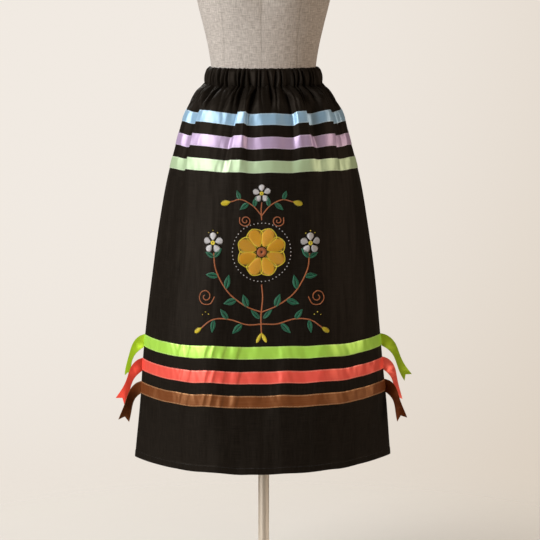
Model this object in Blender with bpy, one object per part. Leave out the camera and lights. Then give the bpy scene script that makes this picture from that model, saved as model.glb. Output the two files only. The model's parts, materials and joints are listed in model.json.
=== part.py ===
"""A ribbon skirt on a limbless dress form.

The skirt is a front and a back panel of black cotton, gathered into an elastic waistband, with three pastel satin
ribbons sewn round the hips and three bright ones above the hem, whose ends hang free at the side seams.
Metres, +Z up. The origin is on the floor under the pole; the front faces -Y and +X is the viewer's right.
"""

from collections import namedtuple

import bmesh
import bpy
import numpy as np

# Driving sizes
WAIST_HEIGHT = 1.120  # floor to the top edge of the waistband
BAND_DEPTH = 0.0355  # waistband, top edge to gathering stitch
SKIRT_LENGTH = 0.825  # cloth from gathering stitch to hem
RIBBON_WIDTH = 0.0254
CLOTH_WALL = 0.0022
RIBBON_WALL = 0.0010
SEAM_GAP = 0.0003  # left between pieces that are sewn or stacked together
GATHERS = 54  # gathers round the waist, half of them on each panel
POLE_RADIUS = 0.0117
BASE_RADIUS = 0.170
BASE_WALL = 0.010
FORM_BOTTOM = 0.860

# How finely the solids are cut
STEPS_PER_GATHER = 4
COARSE_SHARE = 3  # below the gathers, one column for every three
OUTLINE_STEPS = 240

# Sections of the skirt. cloth is the distance down the cloth from the gathering stitch, and drop is how far below
# the stitch it hangs. side_power flattens the front and brings the side seam to an edge, and front_power rounds it.
Level = namedtuple("Level", "cloth drop half_width front_depth back_depth side_power front_power")
LEVELS = (
    Level(0.000, 0.0000, 0.1215, 0.0975, 0.0955, 2.00, 2.00),
    Level(0.012, 0.0076, 0.1310, 0.1060, 0.1040, 2.00, 2.00),
    Level(0.035, 0.0264, 0.1450, 0.1180, 0.1170, 2.00, 1.95),
    Level(0.064, 0.0518, 0.1595, 0.1280, 0.1290, 2.00, 1.90),
    Level(0.118, 0.1028, 0.1785, 0.1360, 0.1390, 2.00, 1.80),
    Level(0.213, 0.1944, 0.2038, 0.1430, 0.1460, 2.05, 1.65),
    Level(0.311, 0.2907, 0.2218, 0.1455, 0.1490, 2.40, 1.45),
    Level(0.441, 0.4188, 0.2402, 0.1470, 0.1500, 3.30, 1.25),
    Level(0.565, 0.5415, 0.2540, 0.1480, 0.1510, 3.90, 1.15),
    Level(0.685, 0.6612, 0.2645, 0.1500, 0.1530, 3.10, 1.13),
    Level(0.825, 0.8006, 0.2768, 0.1550, 0.1570, 2.30, 1.12),
)
CENTRE_SAG = 0.010  # how much lower the hem hangs at the centres than at the side seams
SAG_STARTS = 0.30  # the cloth distance above which the skirt hangs level
SIDE_TILT = 0.004  # how much higher than level the hem hangs at the right side seam
FOLD_LIFT = 0.55  # cloth that swings out by 1 in a fold rides up by this much

# The large folds that fall from the waist. A turn of 0 is the left side seam, 0.25 the centre front, 0.5 the right
# side seam and 0.75 the centre back. A fold's crest lies at turn_first by the first ribbon and at turn_third by the
# third, and its flanks grow by spread between them. It is fully open at one cloth distance and gone at the other.
Fold = namedtuple("Fold", "turn_first turn_third half_top left_flank right_flank spread height opens fades")
FOLDS = (
    Fold(0.036, 0.040, 0.010, 0.020, 0.018, 1.30, 0.0050, 0.045, 0.30),
    Fold(0.109, 0.099, 0.011, 0.006, 0.064, 1.30, 0.0120, 0.045, 0.31),
    Fold(0.166, 0.166, 0.005, 0.010, 0.010, 1.20, 0.0055, 0.030, 0.07),
    Fold(0.202, 0.195, 0.008, 0.006, 0.006, 2.30, 0.0110, 0.045, 0.30),
    Fold(0.262, 0.266, 0.012, 0.026, 0.026, 1.20, 0.0040, 0.045, 0.32),
    Fold(0.300, 0.300, 0.005, 0.009, 0.010, 1.20, 0.0045, 0.030, 0.07),
    Fold(0.335, 0.340, 0.010, 0.008, 0.007, 2.00, 0.0110, 0.045, 0.30),
    Fold(0.376, 0.380, 0.005, 0.009, 0.009, 1.20, 0.0045, 0.030, 0.07),
    Fold(0.408, 0.404, 0.004, 0.046, 0.006, 1.60, 0.0120, 0.045, 0.28),
    Fold(0.462, 0.460, 0.009, 0.014, 0.018, 1.30, 0.0060, 0.100, 0.30),
    Fold(0.540, 0.548, 0.009, 0.012, 0.022, 1.60, 0.0090, 0.100, 0.32),
    Fold(0.604, 0.600, 0.008, 0.012, 0.012, 1.40, 0.0060, 0.045, 0.30),
    Fold(0.662, 0.668, 0.010, 0.008, 0.022, 1.80, 0.0110, 0.045, 0.34),
    Fold(0.728, 0.726, 0.010, 0.018, 0.016, 1.30, 0.0050, 0.045, 0.30),
    Fold(0.790, 0.796, 0.009, 0.007, 0.022, 1.80, 0.0110, 0.045, 0.33),
    Fold(0.856, 0.850, 0.008, 0.014, 0.012, 1.40, 0.0060, 0.045, 0.30),
    Fold(0.918, 0.904, 0.010, 0.022, 0.008, 1.70, 0.0110, 0.045, 0.34),
    Fold(0.970, 0.966, 0.007, 0.014, 0.012, 1.30, 0.0050, 0.045, 0.28),
)
FOLD_STARTS = 0.002  # the cloth distance at which the folds begin to open
FIRST_CLOTH, THIRD_CLOTH = 0.082, 0.183  # cloth distances of the middles of the first and third ribbons

# Slow waves of the lower skirt, which reach the hem
Wave = namedtuple("Wave", "count phase height")
WAVES = (Wave(7, 0.6, 0.0016), Wave(11, 2.2, 0.0012), Wave(16, 4.0, 0.0008))
WAVES_START, WAVES_FULL = 0.18, 0.60

# The small gathers
GATHER_HEIGHT = 0.0032
GATHER_FADES = 0.046
Uneven = namedtuple("Uneven", "count shift")
UNEVEN_SPACING = (Uneven(3, 0.0024), Uneven(7, 0.0016), Uneven(13, 0.0009))

# The outside of the waistband, down from its top edge
BandRow = namedtuple("BandRow", "drop half_width depth gather")
BAND_ROWS = (
    BandRow(0.0000, 0.1142, 0.0887, 0.0006),
    BandRow(0.0035, 0.1180, 0.0930, 0.0015),
    BandRow(0.0115, 0.1213, 0.0970, 0.0028),
    BandRow(0.0310, 0.1230, 0.0995, 0.0034),
    BandRow(BAND_DEPTH, 0.1214, 0.0977, 0.0032),
)
BAND_CLEARANCE = 0.0004  # between the elastic casing and the form

# The satin ribbons: cloth distance of each top edge, and colour
Ribbon = namedtuple("Ribbon", "name cloth colour")
RIBBONS = (
    Ribbon("sky", 0.0690, (0.44, 0.62, 0.76)),
    Ribbon("lavender", 0.1198, (0.55, 0.40, 0.62)),
    Ribbon("mint", 0.1706, (0.44, 0.64, 0.37)),
    Ribbon("lime", 0.5585, (0.38, 0.72, 0.08)),
    Ribbon("coral", 0.6098, (0.86, 0.11, 0.08)),
    Ribbon("brown", 0.6596, (0.25, 0.09, 0.03)),
)

# The free ribbon ends, which leave the side seams. A fall is the lean below level, in degrees, at the root, part of
# the way along and at the end; a twist turns the ribbon about its own line, and forward is towards the viewer.
Tail = namedtuple("Tail", "ribbon side length root_fall fall end_fall twist end_twist forward")
TAILS = (
    Tail("lime", "left", 0.096, 34, 66, 88, -60, -56, -0.030),
    Tail("coral", "left", 0.098, 34, 68, 57, -56, -26, -0.004),
    Tail("brown", "left", 0.080, 28, 68, 73, 52, 26, 0.030),
    Tail("lime", "right", 0.113, 24, 66, 54, 56, 36, -0.044),
    Tail("coral", "right", 0.098, 34, 73, 80, -60, -46, -0.024),
    Tail("brown", "right", 0.081, 30, 69, 73, -53, -26, 0.034),
)
TAIL_BEND = 0.42  # the share of a tail at which fall and twist are reached
TAIL_STEPS = 9
SWALLOW_CUT = 0.009  # depth of the notch in a ribbon's end

# The dress form, by height above the floor
FormRow = namedtuple("FormRow", "height half_width front_depth back_depth")
FORM_ROWS = (
    FormRow(FORM_BOTTOM, 0.1480, 0.0960, 0.1040),
    FormRow(0.880, 0.1550, 0.1020, 0.1110),
    FormRow(0.930, 0.1600, 0.1050, 0.1140),
    FormRow(0.990, 0.1490, 0.0990, 0.1040),
    FormRow(1.040, 0.1280, 0.0900, 0.0900),
    FormRow(1.085, 0.1095, 0.0850, 0.0815),
    FormRow(1.120, 0.1108, 0.0860, 0.0820),
    FormRow(1.160, 0.1166, 0.0890, 0.0850),
    FormRow(1.210, 0.1278, 0.0950, 0.0900),
    FormRow(1.260, 0.1402, 0.1010, 0.0960),
    FormRow(1.310, 0.1490, 0.1040, 0.1010),
    FormRow(1.360, 0.1540, 0.1000, 0.1040),
    FormRow(1.410, 0.1600, 0.0900, 0.1010),
    FormRow(1.445, 0.1640, 0.0790, 0.0920),
    FormRow(1.470, 0.1560, 0.0680, 0.0820),
    FormRow(1.490, 0.1250, 0.0600, 0.0740),
    FormRow(1.505, 0.0860, 0.0550, 0.0660),
    FormRow(1.525, 0.0600, 0.0520, 0.0560),
    FormRow(1.560, 0.0530, 0.0520, 0.0520),
    FormRow(1.590, 0.0530, 0.0530, 0.0530),
)
FORM_COLUMNS = 32
BUST_RISE, BUST_ACROSS, BUST_HEIGHT, BUST_SPREAD = 0.019, 0.068, 1.300, 0.070

NECK_CAP_WALL = 0.016
NECK_CAP_RADIUS = 0.056
BOSS_RADIUS, BOSS_HEIGHT = 0.022, 0.040
ROUND_STEPS = 32


def smooth(share):
    """Eases from 0 to 1."""
    share = np.clip(share, 0.0, 1.0)
    return share * share * (3.0 - 2.0 * share)


def column(rows, name):
    return np.array([getattr(row, name) for row in rows])


def through(stations, values, at):
    """A smooth curve through a table's rows, whose slope at each row comes from its neighbours."""
    slopes = np.gradient(values, stations)
    first = np.clip(np.searchsorted(stations, at) - 1, 0, len(stations) - 2)
    span = stations[first + 1] - stations[first]
    t = (at - stations[first]) / span
    rise = values[first + 1] - values[first]
    start, end = slopes[first] * span, slopes[first + 1] * span
    return values[first] + t * start + t * t * (3 * rise - 2 * start - end) + t**3 * (start + end - 2 * rise)


def quarter(half_width, depth, side_power, front_power, shares):
    """A quarter of a section from the side (share 0) to the centre (share 1), evenly along its length."""
    angle = np.linspace(0.0, np.pi / 2, OUTLINE_STEPS)
    x = half_width * np.cos(angle) ** (2.0 / side_power)
    y = depth * np.sin(angle) ** (2.0 / front_power)
    x[-1] = 0.0
    length = np.concatenate([[0.0], np.cumsum(np.hypot(np.diff(x), np.diff(y)))])
    return np.interp(shares * length[-1], length, x), np.interp(shares * length[-1], length, y)


def section(half_width, front_depth, back_depth, side_power, front_power, turns):
    """The plan points of a whole section at the given turns."""
    turns = np.mod(turns, 1.0)
    to_side = np.abs(np.mod(turns + 0.25, 0.5) - 0.25) / 0.25
    front = turns < 0.5
    front_x, front_y = quarter(half_width, front_depth, side_power, front_power, to_side)
    back_x, back_y = quarter(half_width, back_depth, side_power, front_power, to_side)
    right = np.where((turns > 0.25) & (turns < 0.75), 1.0, -1.0)
    return np.stack([right * np.where(front, front_x, back_x), np.where(front, -front_y, back_y)], axis=1)


def outward(turns, *sizes):
    """Unit vectors square to a section, pointing out."""
    step = 0.002
    along = section(*sizes, turns + step) - section(*sizes, turns - step)
    across = np.stack([along[:, 1], -along[:, 0]], axis=1)
    return across / np.linalg.norm(across, axis=1, keepdims=True)


def turn_of(gather):
    """The turn at which a gather lies. They are unevenly spaced, and one starts at each side seam."""
    share = gather / GATHERS
    return share + sum(uneven.shift * np.sin(2 * np.pi * uneven.count * share) for uneven in UNEVEN_SPACING)


def gather_rise(gather):
    """How far the gathers stand out, from -1 to 1. Some are deeper than others."""
    share = gather / GATHERS
    deep = 0.80 + 0.14 * np.sin(2 * np.pi * 9 * share + 1.0) + 0.06 * np.sin(2 * np.pi * 17 * share)
    return deep * np.cos(2 * np.pi * gather)


def fold_rise(turns, cloth):
    """How far the large folds and the slow waves stand out at one cloth distance."""
    lower = (cloth - FIRST_CLOTH) / (THIRD_CLOTH - FIRST_CLOTH)
    rise = np.zeros_like(turns)
    for fold in FOLDS:
        middle = fold.turn_first + (fold.turn_third - fold.turn_first) * np.clip(lower, -0.5, 1.6)
        wider = 1.0 + (fold.spread - 1.0) * np.clip(lower, 0.0, 2.0)
        away = np.mod(turns - middle + 0.5, 1.0) - 0.5
        flank = np.where(away < 0, fold.left_flank, fold.right_flank) * wider
        opened = smooth((cloth - FOLD_STARTS) / (fold.opens - FOLD_STARTS))
        lasts = 1.0 - smooth((cloth - 0.3 * fold.fades) / (0.7 * fold.fades))
        rise += fold.height * opened * lasts * (1.0 - smooth((np.abs(away) - fold.half_top) / flank))
    low = smooth((cloth - WAVES_START) / (WAVES_FULL - WAVES_START))
    for wave in WAVES:
        rise += low * wave.height * np.sin(2 * np.pi * wave.count * turns + wave.phase)
    return rise


def drape(gathers, cloths):
    """The outer face of the skirt: points and outward vectors, by cloth distance and then by gather."""
    turns = turn_of(gathers)
    from_side = np.abs(np.mod(turns + 0.25, 0.5) - 0.25) / 0.25
    stations = column(LEVELS, "cloth")
    points, square = [], []
    for cloth in cloths:
        drop, *sizes = [through(stations, column(LEVELS, name), cloth) for name in Level._fields[1:]]
        out = outward(turns, *sizes)
        folded = fold_rise(turns, cloth)
        gathered = GATHER_HEIGHT * (1.0 - smooth(cloth / GATHER_FADES)) * gather_rise(gathers)
        plan = section(*sizes, turns) + out * (folded + gathered)[:, None]
        low = smooth((cloth - SAG_STARTS) / (SKIRT_LENGTH - SAG_STARTS))
        level = low * (SIDE_TILT * plan[:, 0] / sizes[0] - CENTRE_SAG * (1.0 - (1.0 - from_side) ** 2))
        height = WAIST_HEIGHT - BAND_DEPTH - SEAM_GAP - drop + level + FOLD_LIFT * folded
        points.append(np.column_stack([plan, height]))
        square.append(out)
    return np.array(points), np.array(square)


def moved_out(points, square, distance):
    moved = points.copy()
    moved[..., :2] += square * distance
    return moved


def kept_to_side(points, front):
    """Holds a panel's points to its own side of the side seams."""
    kept = points.copy()
    middle = SEAM_GAP / 2
    kept[..., 1] = np.minimum(kept[..., 1], -middle) if front else np.maximum(kept[..., 1], middle)
    return kept


def panel_gathers(front, per_gather):
    """The gather numbers of one panel's columns, seam to seam."""
    half = GATHERS // 2
    numbers = np.arange(int(half * per_gather) + 1) / per_gather
    return numbers if front else numbers + half


def material(name, colour, roughness, metallic=0.0):
    made = bpy.data.materials.new(name)
    made.use_nodes = True
    shader = made.node_tree.nodes["Principled BSDF"]
    shader.inputs["Base Color"].default_value = (*colour, 1.0)
    shader.inputs["Roughness"].default_value = roughness
    shader.inputs["Metallic"].default_value = metallic
    return made


def solid(name, points, faces, finish, crease=40):
    """One closed body as an object, its faces turned outwards."""
    mesh = bpy.data.meshes.new(name)
    mesh.from_pydata([tuple(point) for point in points], [], faces)
    body = bmesh.new()
    body.from_mesh(mesh)
    bmesh.ops.recalc_face_normals(body, faces=body.faces)
    body.to_mesh(mesh)
    body.free()
    mesh.materials.append(finish)
    mesh.shade_smooth()
    mesh.set_sharp_from_angle(angle=np.radians(crease))
    made = bpy.data.objects.new(name, mesh)
    bpy.context.scene.collection.objects.link(made)
    return made


def sheet_faces(outer_rows, inner_rows):
    """Faces of a closed wall from its outer and inner rows of point numbers, listed down from the top.

    A row may have a third of the columns of the row above it.
    """
    faces = []
    for rows in (outer_rows, inner_rows):
        for upper, lower in zip(rows, rows[1:]):
            if len(upper) == len(lower):
                for a, b, c, d in zip(upper, upper[1:], lower[1:], lower):
                    faces += [(a, d, b), (b, d, c)]
                continue
            for k, (low, next_low) in enumerate(zip(lower, lower[1:])):
                a, b, c, d = upper[COARSE_SHARE * k : COARSE_SHARE * k + 4]
                faces += [(a, low, b), (b, low, next_low), (b, next_low, c), (c, next_low, d)]
    for end in (0, -1):
        outer, inner = outer_rows[end], inner_rows[end]
        faces += [(a, b, c, d) for a, b, c, d in zip(outer, outer[1:], inner[1:], inner)]
        outer, inner = [row[end] for row in outer_rows], [row[end] for row in inner_rows]
        faces += [(a, b, c, d) for a, b, c, d in zip(outer, outer[1:], inner[1:], inner)]
    return faces


def wall(name, rows, finish):
    """A closed wall from rows of (outer points, inner points), listed down from the top."""
    points, outer_rows, inner_rows = [], [], []
    for outer, inner in rows:
        for side, numbers in ((outer, outer_rows), (inner, inner_rows)):
            numbers.append(list(range(len(points), len(points) + len(side))))
            points.extend(side)
    return solid(name, points, sheet_faces(outer_rows, inner_rows), finish)


FINE_CLOTHS = (0.0, 0.010, 0.025, 0.045)
PLAIN_CLOTHS = (0.300, 0.430)
HEM_CLOTHS = (0.755, SKIRT_LENGTH)


def coarse_cloths():
    """Cloth distances of the rows below the gathers: both edges of each ribbon, and rows between."""
    edges = [ribbon.cloth + shift for ribbon in RIBBONS for shift in (0.0, RIBBON_WIDTH)]
    return np.array(sorted([*edges, *PLAIN_CLOTHS, *HEM_CLOTHS]))


def panel(name, front, finish):
    """A front or back panel: a wall from the gathering stitch to the hem."""
    rows = []
    fine = (panel_gathers(front, STEPS_PER_GATHER), np.array(FINE_CLOTHS))
    coarse = (panel_gathers(front, STEPS_PER_GATHER / COARSE_SHARE), coarse_cloths())
    for gathers, cloths in (fine, coarse):
        outer, square = drape(gathers, cloths)
        inner = moved_out(outer, square, -CLOTH_WALL)
        rows += list(zip(kept_to_side(outer, front), kept_to_side(inner, front)))
    return wall(name, rows, finish)


def ribbon_strip(ribbon, front, finish):
    """A ribbon across one panel, made from that panel's own points, moved out."""
    cloths = np.array([ribbon.cloth, ribbon.cloth + RIBBON_WIDTH])
    face, square = drape(panel_gathers(front, STEPS_PER_GATHER / COARSE_SHARE), cloths)
    inner = kept_to_side(moved_out(face, square, SEAM_GAP), front)
    outer = kept_to_side(moved_out(face, square, SEAM_GAP + RIBBON_WALL), front)
    name = f"ribbon_{ribbon.name}_{'front' if front else 'back'}"
    return wall(name, list(zip(outer, inner)), finish)


def tail_strip(tail, finish):
    """A free ribbon end: a flat strip from the side seam that bends down and ends in a swallow cut."""
    ribbon = next(item for item in RIBBONS if item.name == tail.ribbon)
    seam = np.array([0.0 if tail.side == "left" else GATHERS / 2])
    way = -1.0 if tail.side == "left" else 1.0
    edges, square = drape(seam, np.array([ribbon.cloth, ribbon.cloth + RIBBON_WIDTH]))
    top, bottom = moved_out(edges, square, 2 * SEAM_GAP + RIBBON_WALL)[:, 0]
    shares = np.linspace(0.0, 1.0, TAIL_STEPS + 1)
    bends = np.array([0.0, TAIL_BEND, 1.0])
    falls = np.radians(through(bends, np.array([tail.root_fall, tail.fall, tail.end_fall]), shares))
    twists = np.radians(through(bends, np.array([0.0, tail.twist, tail.end_twist]), shares))
    step = tail.length / TAIL_STEPS
    middle, rows = (top + bottom) / 2, []
    for k, (fall, twist) in enumerate(zip(falls, twists)):
        ahead = np.array([way * np.cos(fall), -tail.forward / tail.length, -np.sin(fall)])
        up = np.array([way * np.sin(fall) * np.cos(twist), -np.sin(twist), np.cos(fall) * np.cos(twist)])
        if k == 0:
            up = (top - bottom) / np.linalg.norm(top - bottom)
        rows.append((middle, up, ahead / np.linalg.norm(ahead)))
        middle = middle + ahead * step
    points, outer_rows, inner_rows = [], [], []
    for k, (middle, up, ahead) in enumerate(rows):
        thick = np.cross(ahead, up) * RIBBON_WALL * way
        for shift, numbers in ((0.0, outer_rows), (1.0, inner_rows)):
            numbers.append(list(range(len(points), len(points) + 3)))
            for across in (0.5, 0.0, -0.5):
                notch = -SWALLOW_CUT if k == TAIL_STEPS and across == 0.0 else 0.0
                points.append(middle + up * RIBBON_WIDTH * across + ahead * notch - thick * shift)
    return solid(f"tail_{tail.ribbon}_{tail.side}", points, sheet_faces(outer_rows, inner_rows), finish)


def closed_rings(name, rings, finish, crease=40):
    """A closed body from rings of equal length listed up from the bottom, with flat ends."""
    count = len(rings[0])
    points = [point for ring in rings for point in ring]
    faces = [tuple(range(count))[::-1], tuple(range(len(points) - count, len(points)))]
    for low in range(0, len(points) - count, count):
        for k in range(count):
            after = (k + 1) % count
            faces.append((low + k, low + after, low + count + after, low + count + k))
    return solid(name, points, faces, finish, crease)


def form_plan(height, turns):
    """The form's plan points at one height, with the soft rise of the bust in front."""
    stations = column(FORM_ROWS, "height")
    sizes = [through(stations, column(FORM_ROWS, name), height) for name in FormRow._fields[1:]]
    plan = section(*sizes, 2.0, 2.0, turns)
    level = np.exp(-(((height - BUST_HEIGHT) / BUST_SPREAD) ** 2))
    across = np.exp(-(((np.abs(plan[:, 0]) - BUST_ACROSS) / BUST_SPREAD) ** 2))
    facing = np.clip(-plan[:, 1] / sizes[1], 0.0, 1.0)
    plan[:, 1] -= BUST_RISE * level * across * facing
    return plan


def torso(finish):
    turns = np.arange(FORM_COLUMNS) / FORM_COLUMNS
    rings = []
    for row in FORM_ROWS:
        plan = form_plan(row.height, turns)
        rings.append(np.column_stack([plan, np.full(len(plan), row.height)]))
    return closed_rings("form_torso", rings, finish)


def waistband(finish):
    """The gathered casing round its elastic: one ring, gathered outside and plain inside."""
    gathers = np.arange(GATHERS * STEPS_PER_GATHER) / STEPS_PER_GATHER
    turns = turn_of(gathers)
    form_columns = np.arange(FORM_COLUMNS + 1) / FORM_COLUMNS
    rings = []
    for row in BAND_ROWS:
        sizes = (row.half_width, row.depth, row.depth, 2.0, 2.0)
        plan = section(*sizes, turns) + outward(turns, *sizes) * row.gather * gather_rise(gathers)[:, None]
        rings.append(np.column_stack([plan, np.full(len(plan), WAIST_HEIGHT - row.drop)]))
    for drop in (BAND_DEPTH, 0.0):
        height = WAIST_HEIGHT - drop
        low, high = FORM_ROWS[5], FORM_ROWS[6]
        share = np.clip((height - low.height) / (high.height - low.height), 0.0, 1.0)
        plan = form_plan(low.height, form_columns) * (1 - share) + form_plan(high.height, form_columns) * share
        plan = np.stack([np.interp(turns, form_columns, plan[:, axis]) for axis in (0, 1)], axis=1)
        plan *= 1.0 + BAND_CLEARANCE / np.linalg.norm(plan, axis=1, keepdims=True)
        rings.append(np.column_stack([plan, np.full(len(plan), height)]))
    count = len(turns)
    points = [point for ring in rings for point in ring]
    faces = []
    for ring in range(len(rings)):
        start, after = ring * count, (ring + 1) % len(rings) * count
        for k in range(count):
            side = (k + 1) % count
            faces.append((start + k, after + k, after + side, start + side))
    return solid("waistband", points, faces, finish)


def turned(name, profile, finish, crease=40):
    """A body turned about the pole's axis, from (radius, height) listed up from the bottom."""
    angle = 2 * np.pi * np.arange(ROUND_STEPS) / ROUND_STEPS
    rings = [
        np.column_stack([radius * np.cos(angle), radius * np.sin(angle), np.full(ROUND_STEPS, height)])
        for radius, height in profile
    ]
    return closed_rings(name, rings, finish, crease)


def stand(metal, wood):
    edge = 0.0025
    boss_top = BASE_WALL + BOSS_HEIGHT
    base = (
        (BASE_RADIUS - edge, 0.0),
        (BASE_RADIUS, edge),
        (BASE_RADIUS, BASE_WALL - edge),
        (BASE_RADIUS - edge, BASE_WALL),
        (BOSS_RADIUS + edge, BASE_WALL),
        (BOSS_RADIUS, BASE_WALL + edge),
        (BOSS_RADIUS, boss_top - edge),
        (BOSS_RADIUS - edge, boss_top),
    )
    turned("stand_base", base, metal)
    turned("stand_pole", ((POLE_RADIUS, boss_top + SEAM_GAP), (POLE_RADIUS, FORM_BOTTOM - SEAM_GAP)), metal)
    cap_low = FORM_ROWS[-1].height + SEAM_GAP
    cap = (
        (NECK_CAP_RADIUS - edge, cap_low),
        (NECK_CAP_RADIUS, cap_low + edge),
        (NECK_CAP_RADIUS, cap_low + NECK_CAP_WALL - 2 * edge),
        (NECK_CAP_RADIUS - 2 * edge, cap_low + NECK_CAP_WALL),
    )
    turned("form_neck_cap", cap, wood)


def build():
    for old in list(bpy.data.objects):
        bpy.data.objects.remove(old, do_unlink=True)
    cotton = material("black_cotton", (0.008, 0.007, 0.006), 0.85)
    linen = material("linen", (0.46, 0.39, 0.31), 0.9)
    metal = material("satin_nickel", (0.60, 0.52, 0.43), 0.35, 1.0)
    wood = material("oiled_beech", (0.45, 0.30, 0.17), 0.5)
    waistband(cotton)
    panel("front_panel", True, cotton)
    panel("back_panel", False, cotton)
    satins = {ribbon.name: material(f"satin_{ribbon.name}", ribbon.colour, 0.35) for ribbon in RIBBONS}
    for ribbon in RIBBONS:
        for front in (True, False):
            ribbon_strip(ribbon, front, satins[ribbon.name])
    for tail in TAILS:
        tail_strip(tail, satins[tail.ribbon])
    torso(linen)
    stand(metal, wood)


build()
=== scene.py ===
"""The look of a ribbon skirt on a limbless dress form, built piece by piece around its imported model."""

import json
from collections import namedtuple

import bpy
import numpy as np
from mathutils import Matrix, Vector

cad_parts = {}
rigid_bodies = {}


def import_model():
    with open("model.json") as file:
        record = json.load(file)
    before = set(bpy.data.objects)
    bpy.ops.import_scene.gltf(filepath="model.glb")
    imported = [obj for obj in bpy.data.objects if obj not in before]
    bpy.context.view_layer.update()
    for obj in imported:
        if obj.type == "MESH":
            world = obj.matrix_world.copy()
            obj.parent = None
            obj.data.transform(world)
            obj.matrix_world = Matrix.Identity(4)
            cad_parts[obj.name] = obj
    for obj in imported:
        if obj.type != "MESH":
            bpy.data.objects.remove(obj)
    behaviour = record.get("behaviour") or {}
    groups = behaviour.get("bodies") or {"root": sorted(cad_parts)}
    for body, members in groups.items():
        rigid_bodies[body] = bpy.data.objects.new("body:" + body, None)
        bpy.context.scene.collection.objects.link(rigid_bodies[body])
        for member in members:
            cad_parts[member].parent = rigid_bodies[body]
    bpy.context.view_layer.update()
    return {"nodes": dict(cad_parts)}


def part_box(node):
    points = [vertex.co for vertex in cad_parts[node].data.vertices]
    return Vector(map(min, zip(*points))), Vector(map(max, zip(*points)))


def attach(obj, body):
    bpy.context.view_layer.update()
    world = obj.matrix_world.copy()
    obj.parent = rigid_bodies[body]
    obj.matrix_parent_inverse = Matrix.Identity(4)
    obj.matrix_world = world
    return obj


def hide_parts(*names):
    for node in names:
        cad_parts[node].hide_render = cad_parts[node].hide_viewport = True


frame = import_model()
nodes = frame["nodes"]


# ---- Stand ----
# A round steel plate lies on the floor. A steel tube screws into the boss at its middle and carries the form.
# Both are nickel plated over a satin-brushed surface.


def linear(colour):
    """An sRGB hex colour as linear RGBA."""
    parts = np.array([int(colour[k : k + 2], 16) for k in (1, 3, 5)]) / 255.0
    parts = np.where(parts <= 0.04045, parts / 12.92, ((parts + 0.055) / 1.055) ** 2.4)
    return (*parts.tolist(), 1.0)


def add_node(tree, kind, settings=None, links=None):
    """Adds a node, sets its properties or inputs by name, and links sockets into its inputs."""
    node = tree.nodes.new(kind)
    for name, value in (settings or {}).items():
        if isinstance(name, str) and hasattr(node, name):
            setattr(node, name, value)
        else:
            node.inputs[name].default_value = value
    for name, socket in (links or {}).items():
        tree.links.new(socket, node.inputs[name])
    return node


def new_finish(name, settings):
    """A material with one Principled shader, and the tree and shader to build its pattern on."""
    finish = bpy.data.materials.new(name)
    finish.use_nodes = True
    shader = finish.node_tree.nodes["Principled BSDF"]
    for socket, value in settings.items():
        shader.inputs[socket].default_value = value
    return finish, finish.node_tree, shader


def grained(name, settings, sizes, detail, shades, relief):
    """A finish with a grain that has its own size along each axis, two shades, and a bump's two settings."""
    finish, tree, shader = new_finish(name, settings)
    place = add_node(tree, "ShaderNodeTexCoord").outputs["Object"]
    spacing = tuple(1 / size for size in sizes)
    drawn_out = add_node(tree, "ShaderNodeMapping", {"Scale": spacing}, {"Vector": place})
    grain = add_node(
        tree, "ShaderNodeTexNoise", {"Scale": 1.0, "Detail": detail}, {"Vector": drawn_out.outputs["Vector"]}
    ).outputs["Fac"]
    dark, pale = (linear(shade) for shade in shades)
    tone = add_node(tree, "ShaderNodeMix", {"data_type": "RGBA", 6: dark, 7: pale}, {0: grain})
    tree.links.new(tone.outputs[2], shader.inputs["Base Color"])
    strength, distance = relief
    bump = add_node(tree, "ShaderNodeBump", {"Strength": strength, "Distance": distance}, {"Height": grain})
    tree.links.new(bump.outputs["Normal"], shader.inputs["Normal"])
    return finish


# Nickel is warmer than chrome. Brushing along the tube leaves fine lines that blur what it reflects
# sideways. They are drawn 0.8 mm wide, coarser than they are, so that they show.
BRUSH_LINE, BRUSH_LENGTH = 0.0008, 1 / 12
satin_nickel = grained(
    "nickel_plate_satin_brushed",
    {"Metallic": 1.0, "Roughness": 0.34},
    sizes=(BRUSH_LINE, BRUSH_LINE, BRUSH_LENGTH),
    detail=3.0,
    shades=("#E6D8C6", "#F4EADC"),
    relief=(0.25, 0.00005),
)
for node in ("stand_base", "stand_pole"):
    nodes[node].material_slots[0].material = satin_nickel


# ---- Form ----
# The form is moulded paper pulp, padded and covered in natural linen. The cover is cut in panels, seamed at
# the centre, over the bust, at the sides and down the back, and a turned beech cap closes the neck.

FORM_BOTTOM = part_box("form_torso")[0][2]
FormRow = namedtuple("FormRow", "height half_width front_depth back_depth")
FORM_ROWS = (
    FormRow(FORM_BOTTOM, 0.1480, 0.0960, 0.1040),
    FormRow(0.880, 0.1550, 0.1020, 0.1110),
    FormRow(0.930, 0.1600, 0.1050, 0.1140),
    FormRow(0.990, 0.1490, 0.0990, 0.1040),
    FormRow(1.040, 0.1280, 0.0900, 0.0900),
    FormRow(1.085, 0.1095, 0.0850, 0.0815),
    FormRow(1.120, 0.1108, 0.0860, 0.0820),
    FormRow(1.160, 0.1166, 0.0890, 0.0850),
    FormRow(1.210, 0.1278, 0.0950, 0.0900),
    FormRow(1.260, 0.1402, 0.1010, 0.0960),
    FormRow(1.310, 0.1490, 0.1040, 0.1010),
    FormRow(1.360, 0.1540, 0.1000, 0.1040),
    FormRow(1.410, 0.1600, 0.0900, 0.1010),
    FormRow(1.445, 0.1640, 0.0790, 0.0920),
    FormRow(1.470, 0.1560, 0.0680, 0.0820),
    FormRow(1.490, 0.1250, 0.0600, 0.0740),
    FormRow(1.505, 0.0860, 0.0550, 0.0660),
    FormRow(1.525, 0.0600, 0.0520, 0.0560),
    FormRow(1.560, 0.0530, 0.0520, 0.0520),
    FormRow(1.590, 0.0530, 0.0530, 0.0530),
)
BUST_RISE, BUST_ACROSS, BUST_HEIGHT, BUST_SPREAD = 0.019, 0.068, 1.300, 0.070
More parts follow.
